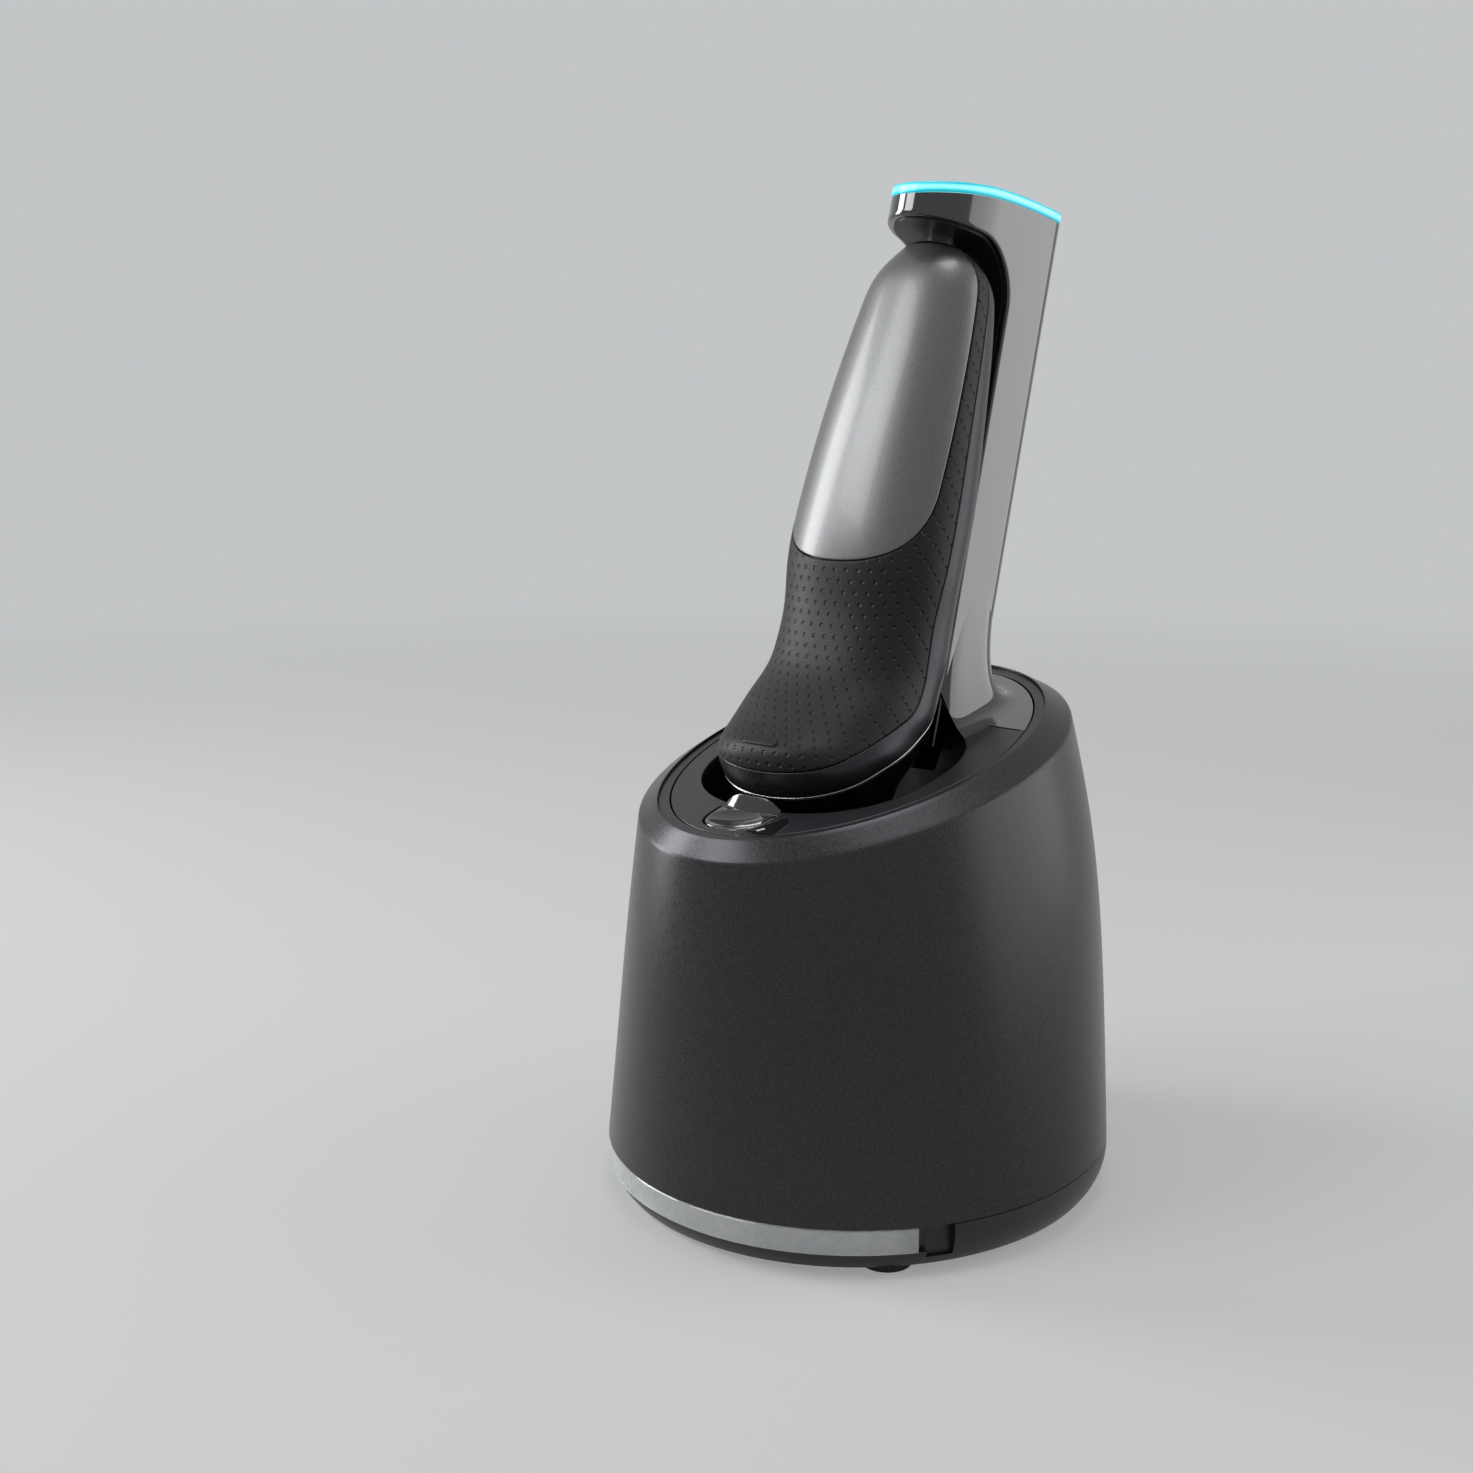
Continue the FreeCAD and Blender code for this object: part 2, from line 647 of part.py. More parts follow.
def chassis_plate():
    low = float(size.chassis_height)
    thick = float(size.chassis_thickness)
    slab = Part.makeBox(200, 200, thick, Vector(-100, -100, low))
    plate = slab.common(loft(housing_sections(float(size.wall + size.seat_gap))))
    drain = Vector(float(size.drain_x), float(size.drain_y), low - 1)
    suction = Vector(float(size.suction_x), float(size.suction_y), low - 1)
    plate = plate.cut(Part.makeCylinder(float(size.drain_radius) + 2.2, thick + 2, drain))
    plate = plate.cut(Part.makeCylinder(float(size.tube_radius) + 0.3, thick + 2, suction))
    feature("chassis_plate", plate)


def lift_post():
    radius = size.guide_radius - size.guide_wall - size.post_clearance
    bottom = size.foot_height + size.tray_floor + 2.5
    body = turned("LiftPost", [
        (radius - size.post_wall, bottom),
        (radius, bottom),
        (radius, size.chassis_height - size.guide_headroom + 0.5),
        (radius + 4, size.chassis_height - size.guide_headroom + 0.5),
        (radius + 4, size.chassis_height),
        (radius - size.post_wall, size.chassis_height),
    ])
    place(body, y=size.column_y)
    named(body, "lift_post")


def pump_parts():
    """Pump chamber on the chassis, its motor above it, and the rotor that both carry."""
    floor = size.chassis_height + size.chassis_thickness
    top = floor + size.pump_height
    bore = size.shaft_radius + size.shaft_clearance
    chamber = size.pump_radius - 1.8
    body = turned("PumpHousing", [
        (ZERO, floor),
        (size.pump_radius, floor),
        (size.pump_radius, top),
        (bore, top),
        (bore, top - 1.5),
        (chamber, top - 1.5),
        (chamber, floor + 1.5),
        (ZERO, floor + 1.5),
    ])
    place(body, x=size.pump_x, y=size.pump_y)
    named(body, "pump_housing")

    motor_top = top + size.motor_height
    body = turned("PumpMotor", [
        (bore, top),
        (size.motor_radius, top),
        (size.motor_radius, motor_top - 1.0),
        (size.motor_radius - 1.0, motor_top),
        (size.shaft_radius * 2.4, motor_top),
        (size.shaft_radius * 2.4, motor_top + 1.6),
        (ZERO, motor_top + 1.6),
        (ZERO, top + 8.0),
        (bore, top + 8.0),
    ])
    place(body, x=size.pump_x, y=size.pump_y)
    named(body, "pump_motor")

    rotor = new_body("PumpRotor")
    sketch = sketch_on(rotor, "XZ_Plane")
    wheel = chamber - 1.2
    polygon(sketch, [
        (ZERO, ZERO),
        (wheel, ZERO),
        (wheel, ZERO + 1.4),
        (size.shaft_radius, ZERO + 1.4),
        (size.shaft_radius, size.pump_height + 4.0),
        (ZERO, size.pump_height + 4.0),
    ])
    revolve(rotor, sketch)
    vane_sketch = sketch_on(rotor, "XY_Plane")
    rectangle(vane_sketch, size.shaft_radius * 0.6, ZERO - 0.6, wheel, ZERO + 0.6)
    vane = pad(rotor, vane_sketch, size.pump_height - 5.5)
    ring = rotor.newObject("PartDesign::PolarPattern", "PumpRotorVanes")
    ring.Originals = [vane]
    ring.Axis = (vane_sketch, ["N_Axis"])
    ring.Angle = 360
    ring.Occurrences = 6
    rotor.Tip = ring
    place(rotor, x=size.pump_x, y=size.pump_y, z=floor + 2.5)
    named(rotor, "pump_rotor")


def tube_along(points, bend):
    """Hollow tube along straight runs with one rounded corner in the middle."""
    start, corner, end = points
    before = (start - corner).normalize()
    after = (end - corner).normalize()
    enter = corner + before * bend
    leave = corner + after * bend
    centre = corner + (before + after) * bend
    middle = centre - (before + after).normalize() * bend
    spine = Part.Wire([
        Part.LineSegment(start, enter).toShape(),
        Part.Arc(enter, middle, leave).toShape(),
        Part.LineSegment(leave, end).toShape(),
    ])

    def swept(radius):
        section = Part.Wire([Part.makeCircle(radius, start, start - enter)])
        return spine.makePipeShell([section], True, False)

    return swept(float(size.tube_radius)).cut(swept(float(size.tube_bore)))


def bowl_floor():
    return float(size.chassis_height + size.bowl_rise)


def feed_cylinder(radius):
    """Cylinder on the feed tube's axis, from inside the wash bowl to the pump."""
    mouth = Vector(float(size.jet_x), 0, bowl_floor() + float(size.jet_rise))
    return Part.makeCylinder(float(radius), float(size.pump_y), mouth, Vector(0, 1, 0))


def tubes(bowl):
    """Suction tube out of the cartridge to the pump, and feed tube from the pump to the bowl."""
    chassis_top = float(size.chassis_height + size.chassis_thickness)
    pump = Part.makeCylinder(float(size.pump_radius), 60,
                             Vector(float(size.pump_x), float(size.pump_y), chassis_top - 10))
    x, y = float(size.suction_x), float(size.suction_y)
    floor = float(size.foot_height + size.tray_floor + size.cartridge_lift)
    suction = tube_along([Vector(x, y, floor + 10), Vector(x, y, chassis_top + 7), Vector(x, 30, chassis_top + 7)], 6.0)
    feature("suction_tube", suction.cut(pump))
    feed = feed_cylinder(size.tube_radius).cut(feed_cylinder(size.tube_bore))
    feed = feed.cut(pump).cut(bowl)
    feed = max(feed.Solids, key=lambda solid: solid.Volume)
    feature("feed_tube", feed)


def circuit_board():
    """Control board standing on the chassis behind the bowl, with its larger components."""
    body = new_body("CircuitBoard")
    sketch = sketch_on(body, "XZ_Plane")
    floor = size.chassis_height + size.chassis_thickness
    rectangle(sketch, ZERO - 31, floor, ZERO - 5, floor + 33)
    pad(body, sketch, size.board_thickness + 0.6)
    parts = sketch_on(body, "XZ_Plane")
    rectangle(parts, ZERO - 28, floor + 4, ZERO - 19, floor + 13)
    circle(parts, (ZERO - 12, floor + 9), ZERO + 4)
    rectangle(parts, ZERO - 26, floor + 18, ZERO - 12, floor + 26)
    pad(body, parts, ZERO + 4.5, reverse=True)
    place(body, y=ZERO + 36)
    named(body, "circuit_board")


def socket_rear():
    """Y of the power socket's open face, flush with the housing's rear."""
    return size.base_centre + size.base_half_depth + 1.2


def power_socket():
    body = new_body("PowerSocket")
    sketch = sketch_on(body, "XZ_Plane")
    low = size.socket_height - size.socket_half_height
    high = size.socket_height + size.socket_half_height
    rectangle(sketch, -size.socket_half_width, low, size.socket_half_width, high)
    block = pad(body, sketch, size.socket_depth)
    well = sketch_on(body, "XZ_Plane")
    middle = size.socket_height
    rectangle(well, -size.socket_well_half_width, middle - size.socket_well_half_height,
              size.socket_well_half_width, middle + size.socket_well_half_height)
    full = block.Shape.Volume
    cavity = pocket(body, well, size.socket_well_depth, reverse=True)
    if cavity.Shape.Volume > full - 1:
        raise RuntimeError("the power socket's cavity cuts nothing")
    place(body, y=socket_rear())
    named(body, "power_socket")

    pins = []
    for side in (-1, 1):
        pin = doc.addObject("Part::Cylinder", "PowerPin")
        bind(pin, "Radius", ZERO + 0.9)
        bind(pin, "Height", size.socket_well_depth * 0.5)
        pin.setExpression(
            "Placement",
            f"placement(vector({side} * Sizes.socket_well_half_width * 0.5;"
            f" {(socket_rear() - size.socket_well_depth).text}; {middle.text}); rotation(vector(1; 0; 0); -90))",
        )
        pins.append(pin)
    group = doc.addObject("Part::Compound", "PowerPins")
    group.Links = pins
    named(group, "power_pins")


def lift_button():
    """Rear button with two latch legs that reach down past the power socket to the tray's catches."""
    catch_front = float(size.base_centre + size.base_half_depth - size.tray_undercut - size.tray_wall) - 6.5
    leg_rear = catch_front - float(size.seat_gap)
    leg_front = leg_rear - 3.2
    half_width = float(size.lift_button_half_width)
    low = float(size.lift_button_height - size.lift_button_half_height)
    high = float(size.lift_button_height + size.lift_button_half_height)
    face = float(size.low_half_depth) + 0.9
    cap = box((-half_width, leg_rear - 0.5, low), (half_width, face, high))
    cap = cap.cut(box((-half_width + 2, leg_rear, low + 2), (half_width - 2, face - 2, high - 2)))
    dish = Part.makeCylinder(26.0, 2 * half_width, Vector(-half_width, face + 25.2, (low + high) / 2), X_AXIS)
    cap = cap.cut(dish)
    spread = float(size.hook_spread)
    bridge = box((-spread - 3, leg_front, low), (spread + 3, leg_rear, high))
    legs = bridge
    for side in (-1, 1):
        x = side * spread
        legs = legs.fuse(box((x - 3, leg_front, 4.4), (x + 3, leg_rear, high)))
    feature("lift_button", cap.fuse(legs).removeSplitter())


# ---------------------------------------------------------------- deck, well and bowl


def deck_disc():
    """Deck and rear skirt in one, before the split, on its own level plane."""
    gap = size.deck_gap
    top = -float(size.deck_drop)
    disc = prism(
        oval(size.lip_half_width - gap, size.lip_half_depth * DECK_STRETCH - gap, 0, top - float(size.deck_thickness)),
        size.deck_thickness)
    return disc


# exponents of the fuller ovals: the well's edge and the start button's front
WELL_FULLNESS = 2.3
BUTTON_FULLNESS = 3.4


def well_prism(extra=0.0):
    return prism(oval(float(size.well_half_width) + extra, float(size.well_half_depth) + extra,
                      size.well_offset, -25, power=WELL_FULLNESS), 90)


def button_plan(grow, low, rise):
    """D-shaped prism of the start button: a straight rear edge and a full curved front."""
    rear = float(size.button_offset) + float(size.button_length) / 2
    front = oval(float(size.button_half_width) + grow, float(size.button_length) + grow, rear, low,
                 power=BUTTON_FULLNESS)
    half_plane = Part.makeBox(60, 60, rise, Vector(-30, rear + grow - 60, low))
    return prism(front, rise).common(half_plane)


# the tab stands back from both edges of the deck strip that carries it
TAB_SETBACK = 0.15


def button_tab():
    """Raised tab of the deck behind the start button, leaning back over the well's edge."""
    top = -float(size.deck_drop)
    foot = float(size.button_offset + size.button_gap) + float(size.button_length) / 2 + TAB_SETBACK
    edge = float(size.well_offset - size.well_half_depth) - TAB_SETBACK
    crest = top + float(size.tab_height)
    lean = float(size.tab_lean)
    half = float(size.button_half_width)
    side = path([
        (Vector(-half, foot, top - 1), None),
        (Vector(-half, foot, top), None),
        (Vector(-half, foot + lean, crest), None),
        (Vector(-half, edge + lean - 0.6, crest - 0.3), None),
        (Vector(-half, edge, top), None),
        (Vector(-half, edge, top - 1), None),
    ])
    return Part.Face(side).extrude(Vector(2 * half, 0, 0))


# switch board beyond the start button's sides
BOARD_MARGIN = 3.6


def deck_panel():
    split = float(size.skirt_line)
    front = Part.makeBox(200, 100, 60, Vector(-100, split - 0.1 - 100, -30))
    panel = deck_disc().common(front).cut(well_prism())
    top = -float(size.deck_drop)
    panel = panel.cut(button_plan(float(size.button_gap), -30, 60))
    panel = panel.cut(light_slot(0.0, -10.0, 20.0))
    panel = panel.fuse(button_tab())
    under = top - float(size.deck_thickness)
    level = float(size.switch_level)
    board_edge = float(size.button_half_width) + BOARD_MARGIN
    for x in (-board_edge, board_edge - 2.0):
        foot = Vector(x, float(size.button_offset) - 1.0, level)
        panel = panel.fuse(Part.makeBox(2.0, 4.0, under - level, foot))
    panel = panel.cut(prism(flare_oval(FLARE_FOOT + float(size.strip_gap), -30), 60))
    half = float(size.tower_half_width + size.strip_gap)
    depth = float(size.column_half_depth + size.strip_gap)
    column = Part.makeBox(2 * half, 2 * depth, 40, Vector(-half, -depth, -20))
    feature("deck_panel", in_deck(panel.removeSplitter()).cut(in_tower(column)))


def light_slot(inset, low, rise):
    """Slot of the status light beside the start button, in the deck's own frame."""
    long = float(size.light_length) - 2 * inset
    wide = float(size.light_width) - 2 * inset
    turn = FreeCAD.Rotation(Z_AXIS, float(size.light_turn))
    middle = Vector(float(size.light_x), float(size.light_offset), low)
    signs = ((-1, -1), (1, -1), (1, 1), (-1, 1), (-1, -1))
    corners = [middle + turn.multVec(Vector(a * long / 2, b * wide / 2, 0)) for a, b in signs]
    return prism(Part.makePolygon(corners), rise)


def status_light():
    top = -float(size.deck_drop)
    pipe = light_slot(0.05, top - 6.0, 6.1)
    feature("status_light", in_deck(pipe))


# flat rim left at the sides of the start button's hollow
DISH_RIM = 0.6


def start_button():
    """D-shaped key with a hollow top, guided by its opening in the deck."""
    top = -float(size.deck_drop)
    middle = float(size.button_offset)
    half = float(size.button_half_width)
    depth = float(size.dish_depth)
    rear = middle + float(size.button_length) / 2
    key = button_plan(0.0, -6.0, top + 6.0)
    # under the deck the key stays clear of the wash bowl's rim
    key = key.cut(Part.makeBox(4 * half, 10, 10, Vector(-2 * half, rear - 1.6, -12.6)))
    reach = half - DISH_RIM
    ball = (reach ** 2 + depth ** 2) / (2 * depth)
    key = key.cut(Part.makeSphere(ball, Vector(0, middle, top - depth + ball)))
    stem = Part.makeBox(5, 4, 3.5, Vector(-2.5, middle - 3.5, -9.0))
    feature("start_button", in_deck(key.fuse(stem)))


def start_switch():
    """Small board with a push switch under the start button."""
    level = float(size.switch_level)
    middle = float(size.button_offset)
    board_edge = float(size.button_half_width) + BOARD_MARGIN
    board = Part.makeBox(2 * board_edge, 8.5, float(size.board_thickness),
                         Vector(-board_edge, middle - 6.5, level - float(size.board_thickness)))
    switch_top = -9.0 - float(size.seat_gap) - float(size.button_travel) + 0.2
    switch = Part.makeBox(6, 6, switch_top - level, Vector(-3, middle - 4.5, level))
    feature("start_switch", in_deck(board.fuse(switch).removeSplitter()))


def wash_bowl():
    wall = float(size.bowl_wall)
    under_deck = -float(size.deck_drop + size.deck_thickness)
    deck_cos = math.cos(math.radians(float(size.deck_angle)))
    deck_sin = math.sin(math.radians(float(size.deck_angle)))

    def rim_oval(grow, drop):
        offset = float(size.well_offset)
        centre_y = float(size.lip_centre) + offset * deck_cos - (under_deck - drop) * deck_sin
        height = float(size.lip_height) + offset * deck_sin + (under_deck - drop) * deck_cos
        return oval(float(size.well_half_width) + grow, (float(size.well_half_depth) + grow) * deck_cos,
                    centre_y, height, DECK_SLOPE, WELL_FULLNESS)

    def bowl_sections(grow, floor):
        middle = bowl_floor() + float(size.bowl_waist)
        return [
            oval(float(size.bowl_floor_half_width) - 3 + grow, float(size.bowl_floor_half_depth) - 3 + grow,
                 size.bowl_floor_centre, floor),
            oval(float(size.bowl_floor_half_width) + 1.5 + grow, float(size.bowl_floor_half_depth) + 2.5 + grow,
                 size.bowl_floor_centre + 2.0, middle),
            rim_oval(grow, 0.0),
        ]

    floor = bowl_floor()
    bowl = loft(bowl_sections(wall, floor - wall)).cut(loft(bowl_sections(0.0, floor)))
    # the two heel ribs carry the foils of the docked shaver
    rib = Part.makeBox(4, 10, 14, Vector(-2, 1.0, -float(size.foil_depth + size.seat_gap) - 14))
    below = Part.makeBox(120, 120, 60, Vector(-60, -80, floor - 0.01))
    for x in (-14, 14):
        heel = rib.copy()
        heel.translate(Vector(x, 0, 0))
        bowl = bowl.fuse(in_shaver(heel).common(below))
    drain = Vector(float(size.drain_x), float(size.drain_y), float(size.chassis_height) - 3)
    spout = Part.makeCylinder(float(size.drain_radius) + 1.5, floor - wall - drain.z + 0.5, drain)
    bowl = bowl.fuse(spout).cut(Part.makeCylinder(float(size.drain_radius), 30, drain))
    half = float(size.tower_half_width) + 0.3
    passage = Part.makeBox(2 * half, 60, 60, Vector(-half, -float(size.column_half_depth) - 0.3, -12))
    bowl = bowl.cut(in_tower(passage))
    feature("wash_bowl", bowl.cut(feed_cylinder(size.tube_bore)))
    return bowl


# ---------------------------------------------------------------- tower


def side_outline(inset, top_drop, bottom):
    """Side view of column and head around the upright column: Y along, Z up."""
    depth = float(size.column_half_depth) - inset
    nose = float(size.arm_reach) - inset
    under = float(size.arm_underside) + inset
    bend = float(size.arm_fillet) + inset
    centre_y = -depth - bend
    centre_z = under - bend
    half_bend = bend * math.sqrt(0.5)

    def at(y, z):
        return Vector(0, y, z)

    return path([
        (at(-depth, bottom), None),
        (at(depth, bottom), None),
        (at(depth, float(size.crown_rear) - top_drop), None),
        (at(-nose, float(size.crown_front) - top_drop),
         at((depth - nose) / 2, float(size.crown_middle) - top_drop)),
        (at(-nose, under), None),
        (at(centre_y, under), None),
        (at(-depth, centre_z), at(centre_y + half_bend, centre_z + half_bend)),
    ])


def channel_solid(inset, half):
    """All that lies behind and above the channel's surface at an inset from the shell's front edge."""
    depth = float(size.column_half_depth) - inset
    under = float(size.arm_underside) + inset
    bend = float(size.arm_fillet) + inset
    centre_y = -depth - bend
    centre_z = under - bend
    half_bend = bend * math.sqrt(0.5)
    beyond = 200.0
    outline = path([
        (Vector(-half, -depth, -beyond), None),
        (Vector(-half, beyond, -beyond), None),
        (Vector(-half, beyond, beyond), None),
        (Vector(-half, -beyond, beyond), None),
        (Vector(-half, -beyond, under), None),
        (Vector(-half, centre_y, under), None),
        (Vector(-half, -depth, centre_z), Vector(-half, centre_y + half_bend, centre_z + half_bend)),
    ])
    return Part.Face(outline).extrude(Vector(2 * half, 0, 0))


def plan_outline(inset, height):
    """Plan of the head: rounded nose, straight sides, rounded rear corners."""
    half = float(size.tower_half_width) - inset
    rear = float(size.column_half_depth) - inset
    corner = max(float(size.rear_corner) - inset, 0.5)
    nose_start = -float(size.arm_reach) + float(size.nose_length)
    length = float(size.nose_length) - inset

    def at(x, y):
        return Vector(x, y, height)

    steps = 7
    nose = [at(half * math.cos(math.pi * i / (2 * steps)), nose_start - length * math.sin(math.pi * i / (2 * steps)))
            for i in range(steps + 1)]
    nose += [Vector(-p.x, p.y, p.z) for p in reversed(nose[:-1])]
    curve = Part.BSplineCurve()
    curve.interpolate(Points=nose, InitialTangent=Vector(0, -1, 0), FinalTangent=Vector(0, 1, 0))
    bend = corner * (1 - math.sqrt(0.5))
    left = Part.LineSegment(nose[-1], at(-half, rear - corner)).toShape()
    left_corner = Part.Arc(at(-half, rear - corner), at(-half + bend, rear - bend), at(-half + corner, rear)).toShape()
    back = Part.LineSegment(at(-half + corner, rear), at(half - corner, rear)).toShape()
    right_corner = Part.Arc(at(half - corner, rear), at(half - bend, rear - bend), at(half, rear - corner)).toShape()
    right = Part.LineSegment(at(half, rear - corner), nose[0]).toShape()
    return Part.Wire([curve.toShape(), left, left_corner, back, right_corner, right])


def tower_form(inset, top_drop, bottom):
    """Column with its head, upright, as the overlap of its side view and its plan."""
    half = float(size.tower_half_width) + 5
    side = Part.Face(side_outline(inset, top_drop, bottom)).extrude(Vector(2 * half, 0, 0))
    side.translate(Vector(-half, 0, 0))
    return side.common(prism(plan_outline(inset, bottom - 1), 300))


FLARE_FOOT = 6.8


def flare_oval(spread, rise, height=None):
    """Section of the flare around the column's foot, in the deck's own frame."""
    lean = math.tan(math.radians(float(size.deck_angle + size.tower_lean)))
    foot_y = (float(size.tower_foot_y) - float(size.lip_centre)) * DECK_STRETCH
    shift = max(rise, 0.0) * lean
    return oval(float(size.tower_half_width) - 0.3 + spread, float(size.column_half_depth) + 0.4 + spread * 1.1,
                foot_y + shift, -float(size.deck_drop) + rise, power=3.2)


def foot_flare():
    """Concave flare from the rear skirt up into the column, in the deck's own frame."""
    low = -float(size.deck_thickness)
    steps = ((low, FLARE_FOOT), (0.0, FLARE_FOOT), (0.6, 5.6), (3.0, 3.0), (6.5, 1.2), (12.0, 0.0))
    upper = loft([flare_oval(spread, rise) for rise, spread in steps[1:]])
    return upper.fuse(prism(flare_oval(FLARE_FOOT, low), -low))


def tower_shell():
    split = float(size.skirt_line)
    rear = Part.makeBox(200, 100, 60, Vector(-100, split, -30))
    skirt = deck_disc().common(rear)
    foot = in_deck(skirt.fuse(foot_flare()).cut(well_prism()))
    drop = float(size.strip_height + size.strip_gap)
    wall = float(size.tower_wall)
    shell = in_tower(tower_form(0.0, drop, -6.0)).fuse(foot)
    shell = shell.cut(in_tower(tower_form(wall, drop + wall, -30.0)))
    # the front of the column and the underside of the head stay open for the liner
    half = float(size.tower_half_width) - wall
    behind_liner = channel_solid(float(size.liner_inset + size.liner_wall), half)
    front = Part.makeBox(2 * half, 90, 190, Vector(-half, -80, -40)).cut(behind_liner)
    inside = prism(plan_outline(wall, -60.0), 300)
    shell = shell.cut(in_tower(front.common(inside)))
    feature("tower_shell", shell)


def pin_cylinder(radius, low, high):
    """Cylinder on the contact pin's axis; heights above the shaver's end."""
    end = float(size.shaver_above_pivot)
    return in_shaver(Part.makeCylinder(radius, high - low, Vector(0, 0, end + low)))


def tower_liner():
    """Channel plate behind the shell's edges: up the column's front and out under the head."""
    clear = float(size.pin_clearance)
    half = float(size.tower_half_width - size.tower_wall) - clear
    inset = float(size.liner_inset)
    front = channel_solid(inset, half)
    back = channel_solid(inset + float(size.liner_wall) - clear, half + 1)
    reach = prism(plan_outline(float(size.tower_wall) + clear, -6.0), 300)
    plate = in_tower(front.cut(back).common(reach))
    feature("tower_liner", plate.cut(pin_cylinder(float(size.pin_radius) + clear, 0, 20)))


def contact_pin():
    """Sprung pin in the head that presses on the shaver's end."""
    gap = float(size.seat_gap)
    rest = (float(size.arm_underside + size.liner_inset + size.liner_wall) + gap
            - tower_height_of_shaver_end())
    pin = pin_cylinder(float(size.pin_radius), gap, rest + 1.0)
    flange = pin_cylinder(float(size.pin_flange), rest, rest + 1.0)
    feature("contact_pin", pin.fuse(flange).removeSplitter())


def tower_height_of_shaver_end():
    """Height of the docked shaver's end along the tower, above the tower's foot."""
    lean = math.radians(float(size.shaver_lean))
    reach = float(size.shaver_above_pivot)
    y = float(size.pivot_y) + reach * math.sin(lean) - float(size.tower_foot_y)
    z = float(size.pivot_z) + reach * math.cos(lean) - float(size.tower_foot_z)
    tower = math.radians(float(size.tower_lean))
    return y * math.sin(tower) + z * math.cos(tower)


def light_board():
    """Board with the lamps under the light strip; the contact pin passes through its hole."""
    low = float(size.arm_underside + size.liner_inset + size.liner_wall) + 0.1
    thick = float(size.board_thickness)
    reach = prism(plan_outline(float(size.tower_wall) + 1.4, low), thick)
    area = Part.makeBox(60, 32, 20, Vector(-30, -36, low - 5))
    hole = pin_cylinder(float(size.pin_flange) + 0.8, 0, 20)
    feature("light_board", in_tower(reach.common(area)).cut(hole))


def light_strip():
    """Translucent band that crowns the head and column."""
    half = float(size.tower_half_width) + 5
    rear = float(size.column_half_depth)
    nose = float(size.arm_reach)
    middle = (rear - nose) / 2
    drop = float(size.strip_height)
    crown = [float(size.crown_rear), float(size.crown_middle), float(size.crown_front)]
    band = path([
        (Vector(-half, rear, crown[0] - drop), Vector(-half, middle, crown[1] - drop)),
        (Vector(-half, rear, crown[0]), None),
        (Vector(-half, -nose, crown[2]), Vector(-half, middle, crown[1])),
        (Vector(-half, -nose, crown[2] - drop), None),
    ])
    feature("light_strip", in_tower(Part.Face(band).extrude(Vector(2 * half, 0, 0)).common(
        prism(plan_outline(0.0, 90.0), 300))))


# ---------------------------------------------------------------- shaver

# sections along the shaver, each as shares of its length above the tilt axis, of the grip's half width and
# half depth, and of that half depth again for the shift towards the front
SHAVER_SECTIONS = [
    (0.055, 0.649, 0.941, -0.306),
    (0.078, 0.768, 1.053, -0.400),
    (0.110, 0.895, 1.171, -0.518),
    (0.143, 0.965, 1.241, -0.571),
    (0.175, 1.031, 1.188, -0.424),
    (0.208, 1.039, 1.124, -0.282),
    (0.247, 1.039, 1.065, -0.112),
    (0.292, 0.987, 1.029, 0.047),
    (0.338, 0.974, 1.006, 0.106),
    (0.390, 0.969, 0.988, 0.094),
    (0.455, 0.996, 0.994, 0.012),
    (0.559, 1.000, 1.012, 0.000),
    (0.708, 0.925, 0.940, 0.000),
    (0.812, 0.850, 0.860, 0.018),
    (0.903, 0.760, 0.775, 0.035),
    (0.952, 0.655, 0.680, 0.035),
    (0.981, 0.492, 0.549, 0.018),
    (0.9948, 0.382, 0.476, 0.000),
]


def shaver_form(inset=0.0):
    """The whole shaver from its collar to its end, drawn in by an inset."""
    length = float(size.shaver_above_pivot)
    half_width = float(size.grip_half_width)
    half_depth = float(size.grip_half_depth)
    return loft([
        oval(half_width * wide - inset, half_depth * deep - inset, half_depth * shift, length * up, power=2.2)
        for up, wide, deep, shift in SHAVER_SECTIONS
    ])


def below_joint(drop):
    """All that lies below the slanted grip joint, or below its copy further down."""
    reach = 3 * float(size.shaver_above_pivot)
    half_space = Part.makeBox(reach, reach, reach, Vector(-reach / 2, 0, -reach))
    joint = Vector(0, -float(size.neck_reach), float(size.joint_height) - drop)
    half_space.translate(Vector(0, -reach / 2, 0))
    half_space.Placement = FreeCAD.Placement(joint, FreeCAD.Rotation(X_AXIS, float(size.joint_angle))).multiply(
        half_space.Placement)
    return half_space


def side_point(depth_share, length_share):
    """Point of the shaver's side view, as shares of the grip's half depth and of the shaver's length."""
    width = 2 * float(size.grip_half_width)
    return Vector(-width, float(size.grip_half_depth) * depth_share, float(size.shaver_above_pivot) * length_share)


def side_region(outline, grow):
    """All of the shaver behind an outline of its side view, moved out by a joint's width."""
    region = Part.Face(path(outline)).extrude(Vector(4 * float(size.grip_half_width), 0, 0))
    return region.translated(Vector(0, grow, -grow))


def cover_region(grow):
    """The back cover's field: rounded lower end, long straight edge up to the shaver's end."""
    return side_region([
        (side_point(-3.0, 0.454), None),
        (side_point(-1.03, 0.454), None),
        (side_point(-0.465, 0.598), side_point(-0.647, 0.517)),
        (side_point(-0.07, 1.04), None),
        (side_point(-3.0, 1.04), None),
    ], grow)


